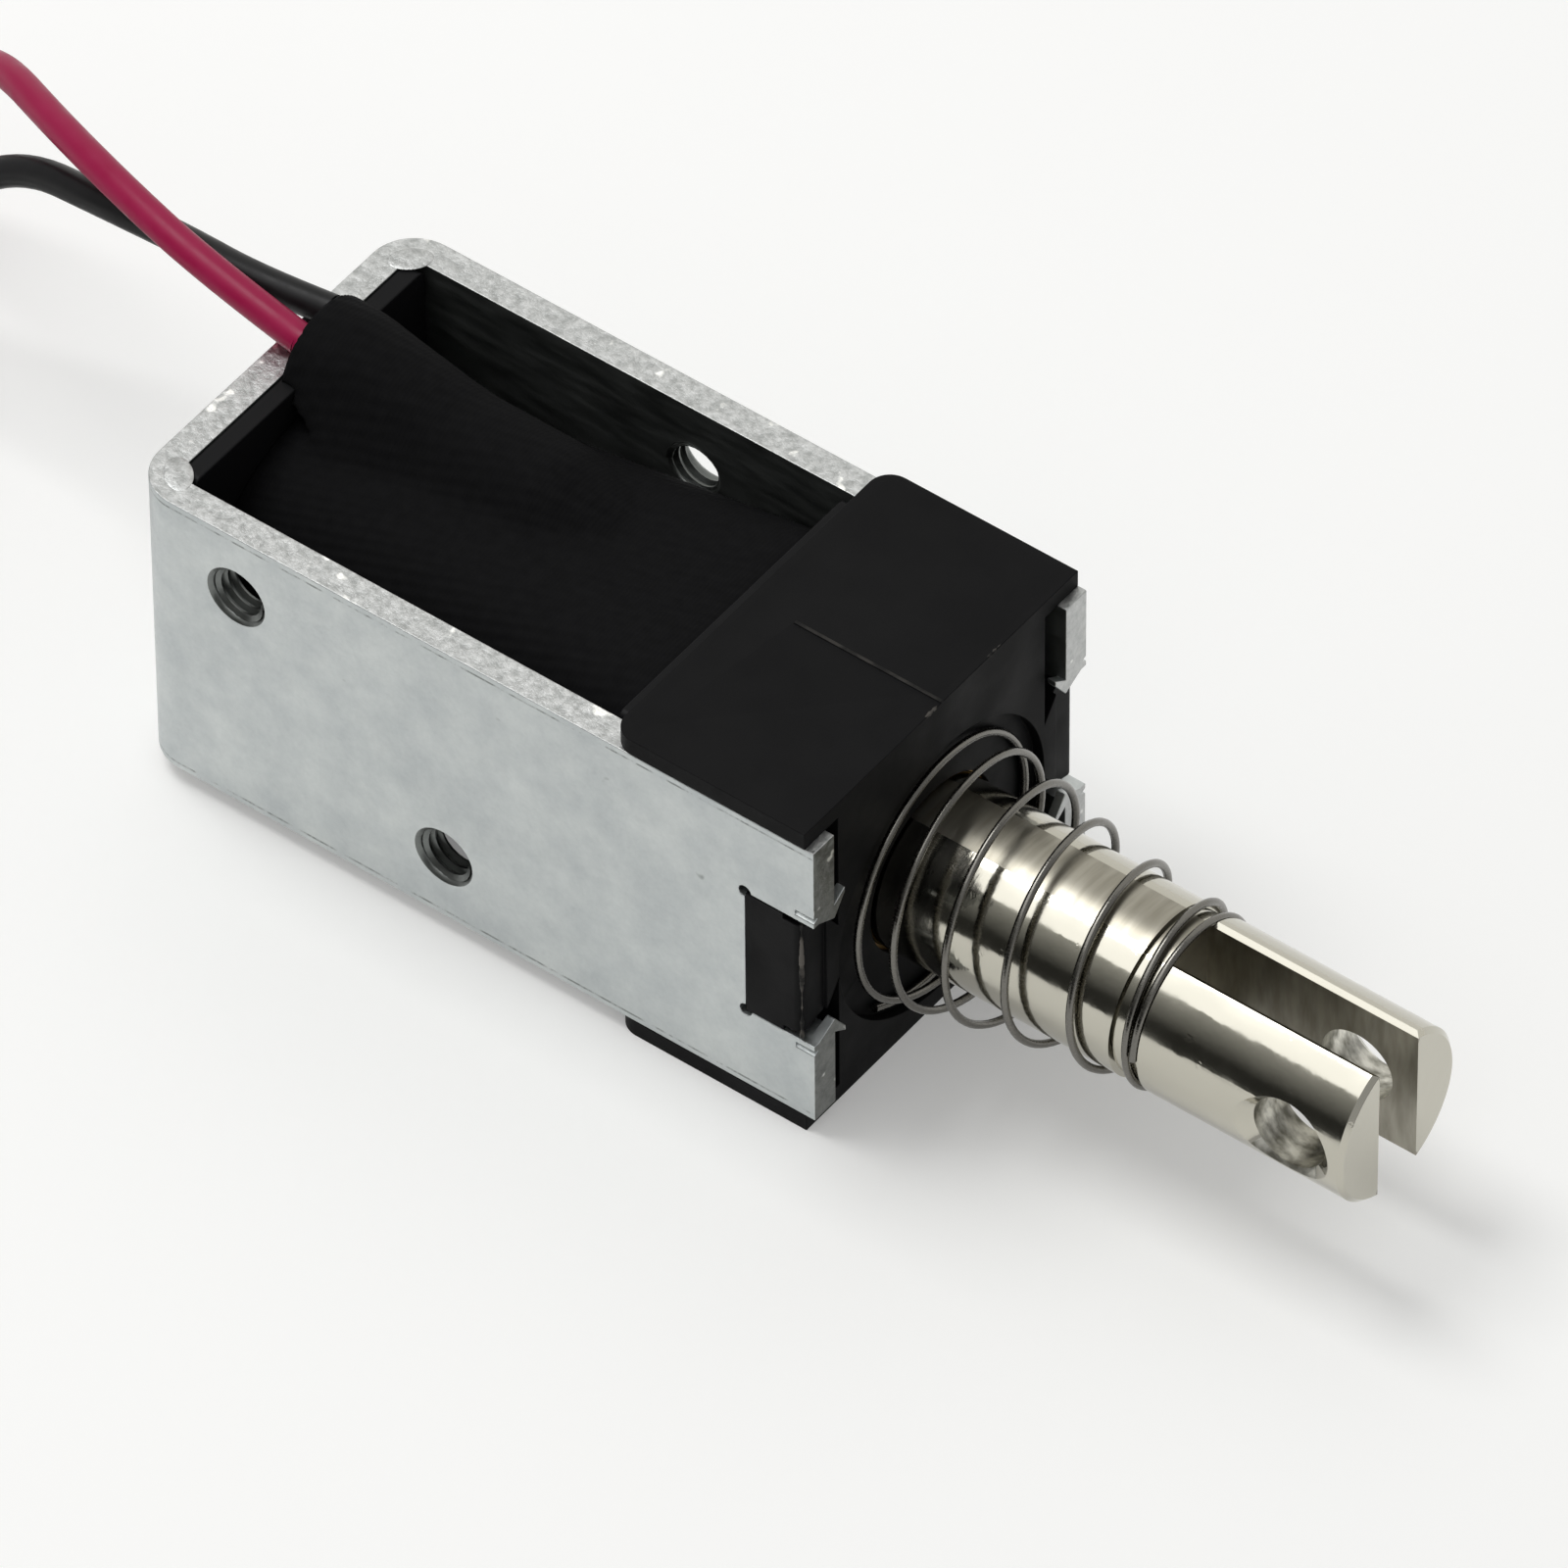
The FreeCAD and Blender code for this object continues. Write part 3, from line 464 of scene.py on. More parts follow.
def write_mesh(shape, mesh, smooth_below):
    """Put a bmesh into a mesh, smooth where its faces meet at less than an angle in degrees."""
    shape.to_mesh(mesh)
    shape.free()
    mesh.polygons.foreach_set("use_smooth", [True] * len(mesh.polygons))
    mesh.set_sharp_from_angle(angle=math.radians(smooth_below))


def new_piece(name, shape, materials, smooth_below=SHARP):
    """An object at the origin from a bmesh, with its finishes."""
    mesh = bpy.data.meshes.new(name)
    write_mesh(shape, mesh, smooth_below)
    for material in materials:
        mesh.materials.append(material)
    return new_object(name, mesh)


def seat(piece, body, slot, *nodes):
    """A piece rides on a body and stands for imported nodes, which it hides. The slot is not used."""
    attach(piece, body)
    if nodes:
        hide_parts(*nodes)


def from_node(node):
    """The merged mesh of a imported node, its flat faces whole."""
    shape = bmesh.new()
    shape.from_mesh(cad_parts[node].data)
    bmesh.ops.remove_doubles(shape, verts=shape.verts, dist=MERGE)
    bmesh.ops.dissolve_limit(shape, angle_limit=math.radians(0.4), verts=shape.verts,
                             edges=shape.edges)
    return shape


def bevelled(obj, width_mm):
    """Break the edges of a piece."""
    modifier = obj.modifiers.new("edges", "BEVEL")
    modifier.width = width_mm * MM
    modifier.segments = 2
    modifier.limit_method = "ANGLE"
    modifier.angle_limit = math.radians(SHARP)
    modifier.harden_normals = True


def tapped_holes():
    """The middle of each threaded hole on its wall's outer face, and which side it is on."""
    for name, side, column, end in (("near_rear", -1, 0, 1), ("near_middle", -1, 1, -1),
                                    ("far_rear", 1, 0, -1), ("far_middle", 1, 1, 1)):
        yield name, side, at(TAP_REAR_X + column * TAP_PITCH_X, side * HALF_WIDTH,
                             FRAME_RISE + end * TAP_OFFSET_Z)


def make_frame_strip(side_finish, edge_finish, near_nose_shade_finish, shaded_thread_finish, inside_shade_finish):
    """The bent strip: broken edges, sheared rims in their own finish, holes opened for their threads.

    The channel's inner faces, the near prongs' ends and the tapped holes' walls take darker finishes as
    painted shade.
    """
    on_rim, on_shaded_near_nose, in_shaded_hole, in_shaded_channel = range(1, 5)
    mouth_r = TAP_MAJOR_R + 0.3
    shape = from_node("frame")
    hole_verts = set()
    for _, _, middle in tapped_holes():
        for vert in shape.verts:
            away = Vector((vert.co.x - middle.x, 0, vert.co.z - middle.z))
            in_wall = abs(vert.co.y - middle.y) < (SHEET + NEAR) * MM
            if in_wall and away.length < mouth_r * MM:
                hole_verts.add(vert)
                if abs(away.length - TAP_MINOR_R * MM) < NEAR / 2 * MM:
                    vert.co += away.normalized() * (TAP_MAJOR_R - TAP_MINOR_R) * MM
    shape.normal_update()
    front = at(FRAME_LENGTH, 0, 0).x
    past_bends = at(SHEET + 2, 0, 0).x
    for face in shape.faces:
        middle = face.calc_center_median()
        inside = face.normal.y * middle.y < 0 or face.normal.x > 0.3 and middle.x < past_bends
        rim = abs(face.normal.z) > 0.9 and abs(middle.z - AXIS_Z - FRAME_RISE * MM) > (
            STRIP_HEIGHT / 2 - NEAR) * MM
        nose = face.normal.x > 0.9 and middle.x > front - NEAR * MM
        # painted shade: the near prongs' ends take a darker copy of the sheared finish
        if nose and middle.y < 0:
            face.material_index = on_shaded_near_nose
        elif rim or nose:
            face.material_index = on_rim
        # painted shade: the tapped holes' walls take a darker steel
        elif abs(face.normal.y) < 0.98 and all(vert in hole_verts for vert in face.verts):
            face.material_index = in_shaded_hole
        # painted shade: the channel's inner faces take a darker zinc
        elif inside and abs(face.normal.z) < 0.5:
            face.material_index = in_shaded_channel
    strip = new_piece("frame_strip", shape,
                      [side_finish, edge_finish, near_nose_shade_finish, shaded_thread_finish, inside_shade_finish])
    bevelled(strip, 0.15)
    seat(strip, "housing", "zinc_plated_steel", "frame")


def make_bend_bulges(finish):
    """Metal squeezed up at the inside of both bends, on the strip's two edges."""
    for side in (-1, 1):
        for end in (-1, 1):
            shape = bmesh.new()
            place = at(SHEET + BULGE_OFFSET, side * (HALF_WIDTH - SHEET - BULGE_OFFSET),
                       FRAME_RISE + end * STRIP_HEIGHT / 2)
            lump = Matrix.Translation(place) @ Matrix.Rotation(side * math.radians(-45), 4, "Z") @ (
                Matrix.Diagonal([half * MM for half in BULGE_HALVES] + [1.0]))
            bmesh.ops.create_icosphere(shape, subdivisions=4, radius=1.0, matrix=lump)
            bmesh.ops.recalc_face_normals(shape, faces=shape.faces)
            name = "bend_bulge_%s_%s" % ("near" if side < 0 else "far", "top" if end > 0 else "bottom")
            seat(new_piece(name, shape, [finish]), "housing", "zinc_plated_steel")


def make_threads(finish):
    """A helical ridge in each tapped hole."""
    turns = (SHEET - THREAD_SHORT) / THREAD_PITCH
    root_r, crest_r = TAP_MAJOR_R + THREAD_SINK, TAP_MINOR_R + THREAD_SINK
    ridge = ((root_r, -THREAD_ROOT_HALF), (crest_r, -THREAD_CREST_HALF), (crest_r, THREAD_CREST_HALF),
             (root_r, THREAD_ROOT_HALF))
    for name, side, middle in tapped_holes():
        shape = bmesh.new()
        inward = Vector((0, -side, 0))
        start = middle + inward * THREAD_START * MM
        verts = [shape.verts.new(start + Vector((r * MM, 0, 0)) + inward * d * MM) for r, d in ridge]
        shape.faces.new(verts)
        bmesh.ops.spin(shape, geom=shape.faces[:] + shape.edges[:] + shape.verts[:], cent=start,
                       axis=inward, dvec=inward * (THREAD_PITCH * MM / THREAD_STEPS),
                       angle=2 * math.pi * turns, steps=int(THREAD_STEPS * turns), use_merge=False)
        bmesh.ops.holes_fill(shape, edges=[e for e in shape.edges if e.is_boundary])
        bmesh.ops.recalc_face_normals(shape, faces=shape.faces)
        thread = new_piece("%s_thread" % name, shape, [finish])
        seat(thread, "housing", "zinc_plated_steel")


def add_ridge(shape, start, end, uneven):
    """A thin uneven ridge of flash between two points, thinned to nothing where it has broken off."""
    along = end - start
    turn = along.to_track_quat("Z", "Y").to_matrix().to_4x4()
    rings = int(along.length / (FLASH_STEP * MM))
    thick = 0.5
    for n in range(rings):
        thick = min(1.0, max(FLASH_THINNEST, thick + uneven.uniform(-FLASH_CHANGE, FLASH_CHANGE)))
        place = Matrix.Translation(start + along * (n / (rings - 1))) @ turn
        made = bmesh.ops.create_circle(shape, segments=8, radius=FLASH_R * thick * MM,
                                       cap_ends=n in (0, rings - 1), matrix=place)
        edges = list({edge for vert in made["verts"] for edge in vert.link_edges})
        if n:
            bmesh.ops.bridge_loops(shape, edges=last + edges)
        last = edges
    bmesh.ops.recalc_face_normals(shape, faces=shape.faces)


def make_end_block(finish, seam_highlight_finish, flash_glint_finish):
    """The moulded block, its edges broken, with its mould's parting line along the top painted pale as a
    highlight.
    """
    shape = from_node("end_block")
    for face in shape.faces:
        middle = face.calc_center_median()
        on_seam = abs(middle.y) < SEAM_HALF * MM and middle.z > at(0, 0, CAP_TOP_Z + SEAM_RISE).z
        face.material_index = 1 if on_seam else 0
    block = new_piece("moulded_end_block", shape, [finish, seam_highlight_finish])
    bevelled(block, 0.14)
    seat(block, "housing", "moulded_black_nylon", "end_block")
    flash = bmesh.new()
    uneven = random.Random(7)
    for start, end in FLASH_ENDS:
        add_ridge(flash, at(*start), at(*end), uneven)
    # painted highlight: the flash is coloured pale in patches as glints along the block's front edges
    seat(new_piece("block_flash", flash, [flash_glint_finish]), "housing", "moulded_black_nylon")


def make_bobbin(finish):
    """The bobbin, its moulded edges broken. Only its rear flange shows."""
    bobbin = new_piece("coil_bobbin", from_node("bobbin"), [finish])
    bevelled(bobbin, 0.1)
    seat(bobbin, "housing", "bobbin_plastic", "bobbin")


def make_core(finish):
    """The fixed core, its riveted stem dished by the punch."""
    shape = from_node("fixed_core")
    back = [f for f in shape.faces if f.normal.x < -0.9
            and f.calc_center_median().x < FRAME_BACK_X + NEAR * MM]
    for width in (RIVET_RIM, RIVET_SLOPE):
        bmesh.ops.inset_region(shape, faces=back, thickness=width * MM, depth=0)
    dished = {v for f in back for v in f.verts}
    bmesh.ops.translate(shape, verts=list(dished), vec=(RIVET_DISH * MM, 0, 0))
    core = new_piece("riveted_core", shape, [finish])
    bevelled(core, 0.08)
    seat(core, "housing", "core_steel", "fixed_core")


def make_wrap(finish):
    """The cloth tape round the coil and over the leads' roots, drawn into one smooth surface."""
    shape = bmesh.new()
    shape.from_mesh(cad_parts["coil_tape"].data)
    shape.from_mesh(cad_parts["lead_tape"].data)
    bmesh.ops.remove_doubles(shape, verts=shape.verts, dist=MERGE)
    wrap = new_piece("cloth_tape_wrap", shape, [finish], 180.0)
    remesh = wrap.modifiers.new("one_skin", "REMESH")
    remesh.mode = "VOXEL"
    remesh.voxel_size = TAPE_VOXEL * MM
    remesh.use_smooth_shade = True
    skin = finished_mesh(wrap)
    wrap.modifiers.clear()
    shape = bmesh.new()
    shape.from_mesh(skin)
    inner_r = WINDING_R + 0.3
    outer = []
    for vert in shape.verts:
        reach = math.hypot(vert.co.y, vert.co.z - AXIS_Z)
        if reach > inner_r * MM and vert.co.x < at(WRAP_FRONT_X - NEAR, 0, 0).x:
            outer.append(vert)
    for first_x, rounds in SMOOTHED_FROM:
        band = [vert for vert in outer if vert.co.x > at(first_x, 0, 0).x]
        for _ in range(rounds):
            bmesh.ops.smooth_vert(shape, verts=band, factor=0.5, use_axis_x=False, use_axis_y=True,
                                  use_axis_z=True)
    wrap.data.clear_geometry()
    write_mesh(shape, wrap.data, 60.0)
    seat(wrap, "housing", "black_cloth_tape", "coil_tape", "lead_tape")


def cut_away(piece, shape):
    """Take a solid, given as a bmesh, out of a piece."""
    mesh = bpy.data.meshes.new("cutter")
    bmesh.ops.recalc_face_normals(shape, faces=shape.faces)
    shape.to_mesh(mesh)
    shape.free()
    cutter = new_object("cutter", mesh)
    cut = piece.modifiers.new("cut", "BOOLEAN")
    cut.operation = "DIFFERENCE"
    cut.solver = "EXACT"
    cut.object = cutter
    result = finished_mesh(piece)
    piece.modifiers.clear()
    bpy.data.objects.remove(cutter)
    piece.data = result


def turned(outline, axis, steps):
    """A solid of revolution about X or Y, from points (along the axis, radius), closed at both ends."""
    shape = bmesh.new()
    verts = []
    for along, radius in outline:
        spot = at(along, radius, 0) if axis == "X" else at(EYE_X + radius, along, 0)
        verts.append(shape.verts.new(spot))
    edges = [shape.edges.new(pair) for pair in zip(verts, verts[1:])]
    turning = (1, 0, 0) if axis == "X" else (0, 1, 0)
    centre = at(0, 0, 0) if axis == "X" else at(EYE_X, 0, 0)
    bmesh.ops.spin(shape, geom=verts + edges, cent=centre, axis=turning, angle=2 * math.pi,
                   steps=steps, use_merge=True)
    bmesh.ops.remove_doubles(shape, verts=shape.verts, dist=MERGE)
    bmesh.ops.recalc_face_normals(shape, faces=shape.faces)
    return shape


def break_slot_edges(plunger):
    """File off the four long edges of the slot, as the burrs there are on the real one."""
    files = bmesh.new()
    middle = (SLOT_ROOT_X + TIP_X + OVER) / 2
    length = (TIP_X + OVER - SLOT_ROOT_X) * MM
    edge_z = math.sqrt(PLUNGER_R ** 2 - SLOT_HALF ** 2)
    half_corner = (math.pi / 2 - math.atan2(SLOT_HALF, edge_z)) / 2
    depth = SLOT_CHAMFER * math.cos(half_corner)
    for side in (-1, 1):
        for end in (-1, 1):
            turn = Matrix.Rotation(side * end * half_corner, 4, "X")
            inward = turn @ Vector((0, 0, -end))
            corner = at(middle, side * SLOT_HALF, end * edge_z)
            place = Matrix.Translation(corner + inward * (depth - FILE_WIDTH / 2) * MM)
            bmesh.ops.create_cube(files, size=1.0, matrix=place @ turn @ Matrix.Diagonal(
                (length, FILE_WIDTH * MM, FILE_WIDTH * MM, 1.0)))
    cut_away(plunger, files)


def make_plunger(turned_finish, milled_finish, drilled_reflection_finish):
    """The plunger: turned outside with a groove for the spring, slotted and cross drilled at its tip."""
    turned_face, milled_face, drilled_face = range(3)
    r, c, neck = PLUNGER_R, TIP_CHAMFER, PLUNGER_R - GROOVE_DEPTH
    groove_x = GROOVE_END_X - GROOVE_LENGTH
    outline = [(REAR_X, 0), (REAR_X, r - c), (REAR_X + c, r), (groove_x, r),
               (groove_x + GROOVE_SLOPE, neck), (GROOVE_END_X - GROOVE_SLOPE, neck), (GROOVE_END_X, r),
               (TIP_X - c, r), (TIP_X, r - c), (TIP_X, 0)]
    plunger = new_piece("turned_plunger", turned(outline, "X", TURNED_FACETS),
                        [turned_finish, milled_finish, drilled_reflection_finish])
    slot = bmesh.new()
    middle = (SLOT_ROOT_X + TIP_X + OVER) / 2
    size = [(TIP_X + OVER - SLOT_ROOT_X) * MM, 2 * SLOT_HALF * MM, 2 * (r + OVER) * MM, 1.0]
    bmesh.ops.create_cube(slot, size=1.0, matrix=Matrix.Translation(at(middle, 0, 0)) @ (
        Matrix.Diagonal(size)))
    cut_away(plunger, slot)
    break_slot_edges(plunger)
    rim = math.sqrt(r ** 2 - EYE_R ** 2) - EYE_CHAMFER / 2
    reach = r + OVER - rim
    cut_away(plunger, turned([(-rim - reach, 0), (-rim - reach, EYE_R + reach), (-rim, EYE_R), (rim, EYE_R),
                              (rim + reach, EYE_R + reach), (rim + reach, 0)], "Y", EYE_FACETS))
    mouth_r = EYE_R + 0.6
    for face in plunger.data.polygons:
        spot = face.center
        radial = Vector((0, spot.y, spot.z - AXIS_Z))
        outside = radial.length > (neck - NEAR) * MM and face.normal.dot(radial.normalized()) > 0.5
        end = abs(face.normal.x) > 0.6 and abs(spot.x - at(SLOT_ROOT_X, 0, 0).x) > NEAR * MM
        in_eye = math.hypot(spot.x - at(EYE_X, 0, 0).x, spot.z - AXIS_Z) < mouth_r * MM
        in_slot = abs(spot.y) < (SLOT_HALF + NEAR / 2) * MM
        if in_slot:
            face.material_index = milled_face
        elif outside:
            face.material_index = turned_face
        elif in_eye:
            face.material_index = drilled_face
        else:
            face.material_index = turned_face if end else milled_face
    plunger.data.set_sharp_from_angle(angle=math.radians(SHARP))
    bevelled(plunger, 0.07)
    seat(plunger, "armature", "nickel_plated_steel", "plunger")


def spring_points():
    """The centre line of the wire, from the flat turn in the seat to the grip in the groove."""
    x = SEAT_X + SPRING_SEAT_GAP + WIRE_R
    stations = [(-TAIL_TURNS, x, COIL_OUTER_RADII[0] - WIRE_R)]
    for turn, radius in enumerate(COIL_OUTER_RADII):
        stations.append((turn, x, radius - WIRE_R))
        if turn < len(COIL_PITCHES):
            x += COIL_PITCHES[turn]
    grip_x = GROOVE_END_X - GRIP_END_GAP - WIRE_R
    grip_r = PLUNGER_R - GROOVE_DEPTH + GRIP_CLEAR + WIRE_R
    for past, share in zip(GRIP_TURNS, GRIP_SHARES):
        stations.append((len(COIL_PITCHES) + past, x + share * (grip_x - x), grip_r))
    steps = int(SPRING_STEPS * (stations[-1][0] + TAIL_TURNS))
    for step in range(steps + 1):
        turn = -TAIL_TURNS + (stations[-1][0] + TAIL_TURNS) * step / steps
        ahead = next(n for n in range(1, len(stations)) if stations[n][0] >= turn - 1e-9)
        (turn0, x0, r0), (turn1, x1, r1) = stations[ahead - 1], stations[ahead]
        share = (turn - turn0) / (turn1 - turn0)
        radius = r0 + share * (r1 - r0)
        if turn < 0:
            radius += TAIL_FLARE * (turn / TAIL_TURNS) ** 2
        angle = math.radians(TAIL_ANGLE) + 2 * math.pi * turn
        yield at(x0 + share * (x1 - x0), radius * math.cos(angle), radius * math.sin(angle))


def wire_curve(name, points, radius, resolution):
    """A round wire along a smooth NURBS line through a list of control points."""
    curve = bpy.data.curves.new(name, "CURVE")
    curve.dimensions = "3D"
    curve.bevel_depth = radius
    curve.bevel_resolution = resolution
    curve.use_fill_caps = True
    spline = curve.splines.new("NURBS")
    spline.points.add(len(points) - 1)
    for point, place in zip(spline.points, points):
        point.co = (*place, 1.0)
    spline.order_u = 3
    spline.use_endpoint_u = True
    return curve


def make_spring(finish):
    """The return spring's round wire, on the spring's body."""
    curve = wire_curve("spring_line", list(spring_points()), WIRE_R * MM, 4)
    curve.resolution_u = 3
    maker = new_object("spring_line", curve)
    mesh = finished_mesh(maker)
    bpy.data.objects.remove(maker)
    shape = bmesh.new()
    shape.from_mesh(mesh)
    bmesh.ops.remove_doubles(shape, verts=shape.verts, dist=MERGE)
    spring = new_piece("return_spring_wire", shape, [finish], 50.0)
    seat(spring, "spring", "spring_wire", "return_spring")
    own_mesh(spring)


class PutAwayCoil:
    """The flat spiral that holds the rest of a lead, on the left of its route's end as the wire runs."""

    def __init__(self, route, route_length):
        self.turns = (LEAD_LENGTH - TINNED_LENGTH - route_length) / (math.pi * COIL_ACROSS)
        self.outer = (COIL_ACROSS + self.turns * LEAD_D) / 2
        self.inner = (COIL_ACROSS - self.turns * LEAD_D) / 2
        ahead = (route[-1] - route[-2]).normalized()
        across = Vector((0, 0, 1)).cross(ahead)
        self.centre = route[-1] + across * self.outer
        self.start = math.atan2(-across.y, -across.x)

    def outward(self, turn):
        """The direction from the spiral's middle after a number of turns."""
        angle = self.start + 2 * math.pi * turn
        return Vector((math.cos(angle), math.sin(angle), 0))

    def end(self):
        """Where the insulation ends, and which way the bare end points from there."""
        outward = self.outward(self.turns)
        ahead = Vector((0, 0, 1)).cross(outward)
        ahead = ahead * math.cos(END_TURN_IN) - outward * math.sin(END_TURN_IN)
        return self.centre + outward * (self.inner - LEAD_D / 2), ahead

    def points(self):
        """Points along the spiral, up to where the insulation ends."""
        for step in range(1, int((self.turns - SPIRAL_LEFT_OPEN) * SPIRAL_STEPS) + 1):
            turn = step / SPIRAL_STEPS
            yield self.centre + self.outward(turn) * (self.outer - LEAD_D * turn)
        place, ahead = self.end()
        yield place - ahead * LEAD_D
        yield place


def make_tinned_end(colour, coil, finish):
    """Seven tinned strands, twisted."""
    place, ahead = coil.end()
    shape = bmesh.new()
    for number in range(7):
        angle = number * math.pi / 3
        off = Vector((0, 0, 0)) if number == 6 else Vector(
            (math.cos(angle), math.sin(angle), 0)) * STRAND_R * STRAND_STEP
        made = bmesh.ops.create_circle(shape, cap_ends=True, segments=10, radius=STRAND_R,
                                       matrix=Matrix.Translation(off))
        faces = list({f for v in made["verts"] for f in v.link_faces})
        edges = list({e for v in made["verts"] for e in v.link_edges})
        bmesh.ops.spin(shape, geom=faces + edges + made["verts"], cent=(0, 0, 0), axis=(0, 0, 1),
                       dvec=(0, 0, TINNED_LENGTH / STRAND_STEPS), angle=STRAND_TWIST,
                       steps=STRAND_STEPS, use_merge=False)
    bmesh.ops.recalc_face_normals(shape, faces=shape.faces)
    turn = ahead.to_track_quat("Z", "Y").to_matrix().to_4x4()
    bmesh.ops.transform(shape, matrix=Matrix.Translation(place) @ turn, verts=shape.verts)
    end = new_piece("lead_%s_tinned_end" % colour, shape, [finish], 60.0)
    seat(end, "housing", "tinned_copper", "lead_%s_end" % colour)
    return end


def make_lead(colour, route, route_length, insulation, tinned):
    """One lead, from where it leaves the tape to its bare end in the put-away coil."""
    coil = PutAwayCoil(route, route_length)
    curve = wire_curve("lead_%s_wire" % colour, route + list(coil.points()), LEAD_D / 2, 8)
    curve.resolution_u = 8
    lead = new_object("lead_%s_wire" % colour, curve)
    curve.materials.append(insulation)
    seat(lead, "housing", "lead_%s_pvc" % colour, "lead_%s" % colour, "lead_%s_coil" % colour)
    end = make_tinned_end(colour, coil, tinned)
    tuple(route[0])


def make_camera():
    """The photograph's own view, solved from the edges of the frame and block."""
    azimuth, elevation, roll = math.radians(37.492), math.radians(46.636), math.radians(-0.476)
    slide_x, slide_y, distance = -24.154, 14.105, 1000.0
    focal_over_width = 21667.2 / 1600
    middle_x, middle_z = 32.8, 10.0         # from the strip's middle to the origin
    back = Vector((math.sin(azimuth) * math.cos(elevation), -math.cos(azimuth) * math.cos(elevation),
                   math.sin(elevation)))
    level = Vector((0, 0, 1)).cross(back).normalized()
    upright = back.cross(level)
    right = level * math.cos(roll) + upright * math.sin(roll)
    up = upright * math.cos(roll) - level * math.sin(roll)
    turn = Matrix((right, up, back)).transposed()
    place = turn @ Vector((-slide_x, -slide_y, distance)) + Vector((-middle_x, 0, middle_z))
    data = bpy.data.cameras.new("camera")
    data.sensor_width = 36.0
    data.lens = focal_over_width * data.sensor_width
    data.clip_start = 0.05
    data.clip_end = 10.0
    camera = new_object("camera", data)
    camera.matrix_world = Matrix.Translation(place * MM) @ turn.to_4x4()
    bpy.context.scene.camera = camera


def make_floor():
    """A pale floor that goes to white where the camera or a shiny piece sees it, shadows kept."""
    material, tree, shader, _ = new_material("pale_floor", "#ececea", 0.9)
    shader.inputs["Specular IOR Level"].default_value = 0.0
    path = add(tree, "ShaderNodeLightPath")
    seen = add(tree, "ShaderNodeMath", {"operation": "MAXIMUM"},
               {0: path.outputs["Is Camera Ray"], 1: path.outputs["Is Glossy Ray"]})
    seen = add(tree, "ShaderNodeMath", {"operation": "MAXIMUM"},
               {0: seen.outputs["Value"], 1: path.outputs["Is Transmission Ray"]})
    lift = add(tree, "ShaderNodeMath", {"operation": "MULTIPLY", 1: FLOOR_LIFT},
               {0: seen.outputs["Value"]})
    shader.inputs["Emission Color"].default_value = linear("#ffffff")
    tree.links.new(lift.outputs["Value"], shader.inputs["Emission Strength"])
    shape = bmesh.new()
    bmesh.ops.create_grid(shape, x_segments=1, y_segments=1, size=FLOOR_HALF)
    new_piece("floor", shape, [material])


def make_card(name, ends, foot, top, dark, pale, fade_from=0.0, glow=1.0):
    """A card along X that only reflections see, from its foot to its top, given as Y and Z.

    It is paler towards its top: the bright metal gets its dark and white bands from such cards.
    """
    material, tree, shader, place = new_material(name, "#000000", 1.0)
    parts = add(tree, "ShaderNodeSeparateXYZ", links={"Vector": place})
    height = add(tree, "ShaderNodeMapRange", {"From Min": fade_from, "From Max": top[1]},
                 {"Value": parts.outputs["Z"]})
    shade = add(tree, "ShaderNodeMix", {"data_type": "RGBA", 6: linear(dark), 7: linear(pale)},
                {0: height.outputs["Result"]})
    tree.links.new(shade.outputs[2], shader.inputs["Emission Color"])
    shader.inputs["Emission Strength"].default_value = glow
    shader.inputs["Specular IOR Level"].default_value = 0.0
    shape = bmesh.new()
    corners = [(ends[0], *foot), (ends[1], *foot), (ends[1], *top), (ends[0], *top)]
    shape.faces.new([shape.verts.new(corner) for corner in corners])
    card = new_piece(name, shape, [material])
    card.visible_camera = False
    card.visible_shadow = False
    card.visible_diffuse = False


def make_lights():
    """A white room and three soft lamps, of which the overhead one does most of the work."""
    world = bpy.data.worlds.new("studio")
    bpy.context.scene.world = world
    world.use_nodes = True
    world.node_tree.nodes["Background"].inputs["Color"].default_value = linear("#ffffff")
    world.node_tree.nodes["Background"].inputs["Strength"].default_value = WORLD_STRENGTH
    for name, place, size, power in (("overhead", (-0.30, -0.04, 0.64), 0.34, 2.2),
                                     ("far_side", (-0.34, 0.44, 0.58), 0.42, 0.3),
                                     ("near_side", (0.25, -0.50, 0.60), 0.40, 0.3)):
        data = bpy.data.lights.new(name, "AREA")
        data.size = size
        data.energy = power
        lamp = new_object(name, data)
        lamp.location = place
        lamp.rotation_euler = (-Vector(place)).to_track_quat("-Z", "Y").to_euler()
    bpy.context.scene.view_settings.view_transform = "Standard"


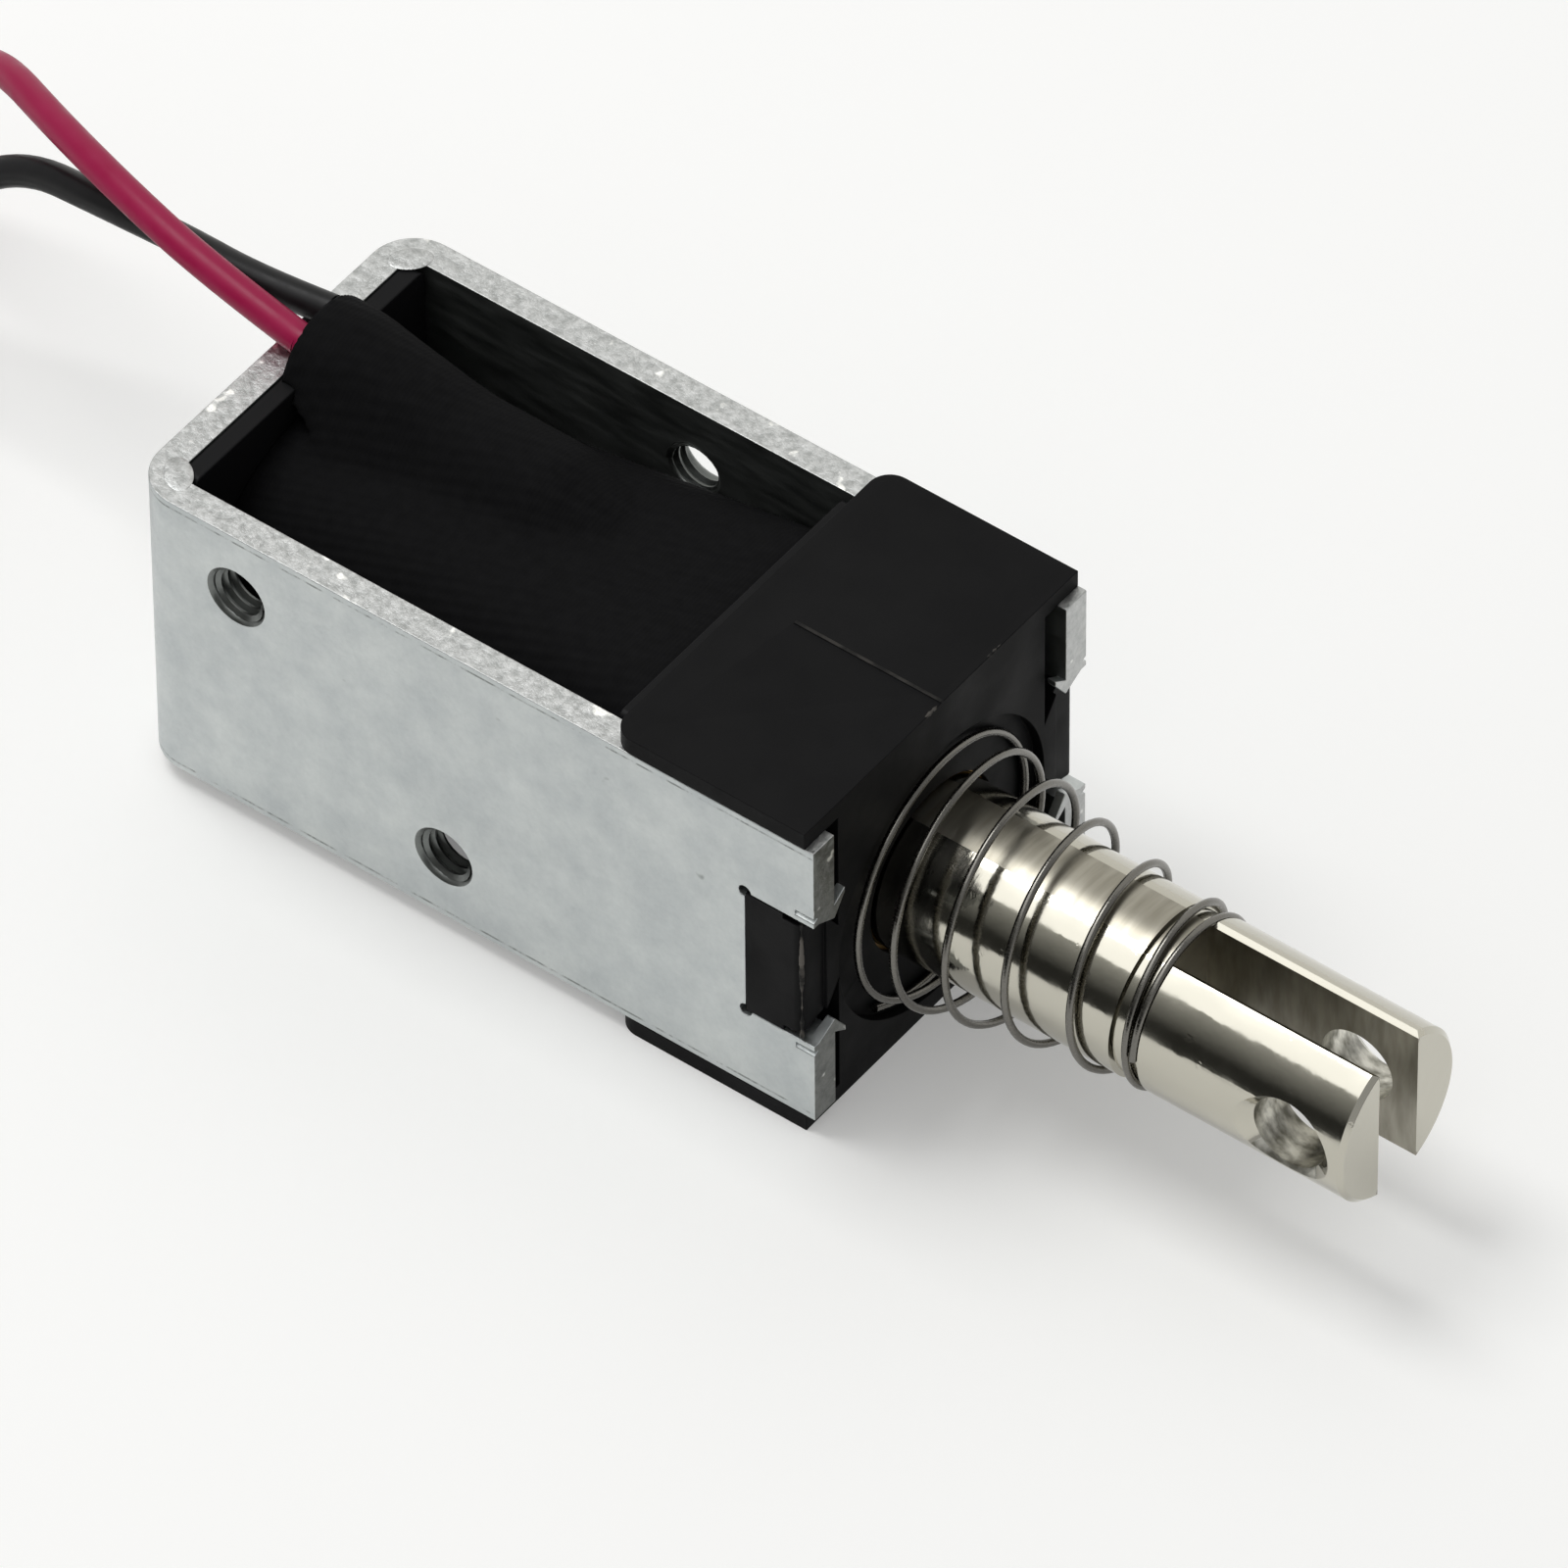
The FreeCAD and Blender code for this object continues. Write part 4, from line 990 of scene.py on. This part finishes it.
def main():
    """Every piece in its finish, and then the stage that the solenoid stands on."""
    make_camera()
    red = soft_pvc("red_pvc", "#900a3c", "#9c1849")
    black = soft_pvc("black_pvc", "#0f0f10", "#1a1a1b")
    tinned = drawn_metal("tinned_copper_strand", "#c9c9c4", 0.3)
    make_lead("red", RED_ROUTE, RED_ROUTE_LENGTH, red, tinned)
    make_lead("black", BLACK_ROUTE, BLACK_ROUTE_LENGTH, black, tinned)
    zinc = zinc_plate()
    brass = drawn_metal("drawn_brass_tube", "#8a6d38", 0.34)
    steel = drawn_metal("bare_core_steel", "#a3a19c", 0.36)
    sleeve = soft_pvc("shrunk_sleeve", "#101011", "#1c1c1e", 0.5)
    carried = {"front_pole_plate": zinc, "guide_tube": brass, "core_shim": brass,
               "coil_winding": magnet_wire(), "lead_red_root": red, "lead_black_root": black,
               "lead_red_splice_sleeve": sleeve, "lead_black_splice_sleeve": sleeve}
    for node, finish in carried.items():
        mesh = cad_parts[node].data
        mesh.materials.clear()
        mesh.materials.append(finish)
    sheared = sheared_zinc("sheared_zinc_edge", "#a4a6a5", "#c5c6c5")
    # painted shade: the threads and the holes' walls are darker, standing for the shade inside the holes
    shaded_thread_steel = drawn_metal("thread_steel_painted_shade", "#757876", 0.38)
    # painted shade: darker copies of the sheared edge and of the zinc for the near prongs' ends and the
    # channel's inside
    make_frame_strip(zinc, sheared, sheared_zinc("near_nose_painted_shade", "#6c6e6c", "#8f918e"), shaded_thread_steel,
                     drawn_metal("zinc_inside_painted_shade", "#727573", 0.5, (2.5, 0.6, 0.6)))
    make_bend_bulges(sheared)
    make_threads(shaded_thread_steel)
    make_end_block(black_nylon("moulded_black_nylon", "#0d0d0e", 0.55, 0.12, 0.012),
                   # painted highlights: the seam and the flash take pale colours for the light that they
                   # catch
                   pale_nylon_highlight("nylon_seam_painted_highlight", "#141413", "#33312e"),
                   pale_nylon_highlight("nylon_flash_painted_glints", "#1a1a19", "#625e59"))
    make_bobbin(black_nylon("bobbin_nylon", "#161617", 0.42, 0.2, 0.006))
    make_core(steel)
    make_wrap(cloth_tape())
    make_plunger(turned_nickel(),
                 milled_nickel("milled_nickel_plate", "#8f8b7f", "#a6a296", (0.5, 5.0, 2.5), 0.012),
                 # painted reflection: the drilled eye's pale colour stands for the white background seen in
                 # its bore
                 milled_nickel("drilled_nickel_painted_reflection", "#86847a", "#e2e0d6", (0.9, 0.5, 0.9), 0.05))
    make_spring(drawn_metal("spring_wire", "#74726d", 0.24, (0.5, 0.1, 0.1)))
    make_floor()
    make_card("near_card", (-0.16, 0.06), (-0.075, 0.0), (-0.075, 0.10), "#30302e", "#b4b4b0", 0.026)
    make_card("far_card", (-0.35, 0.15), (0.15, 0.0), (0.15, 0.30), "#f3f2ee", "#f3f2ee")
    make_card("white_card", (-0.18, 0.06), (-0.17, 0.16), (-0.035, 0.161), "#ffffff", "#ffffff", glow=1.8)
    make_lights()


main()
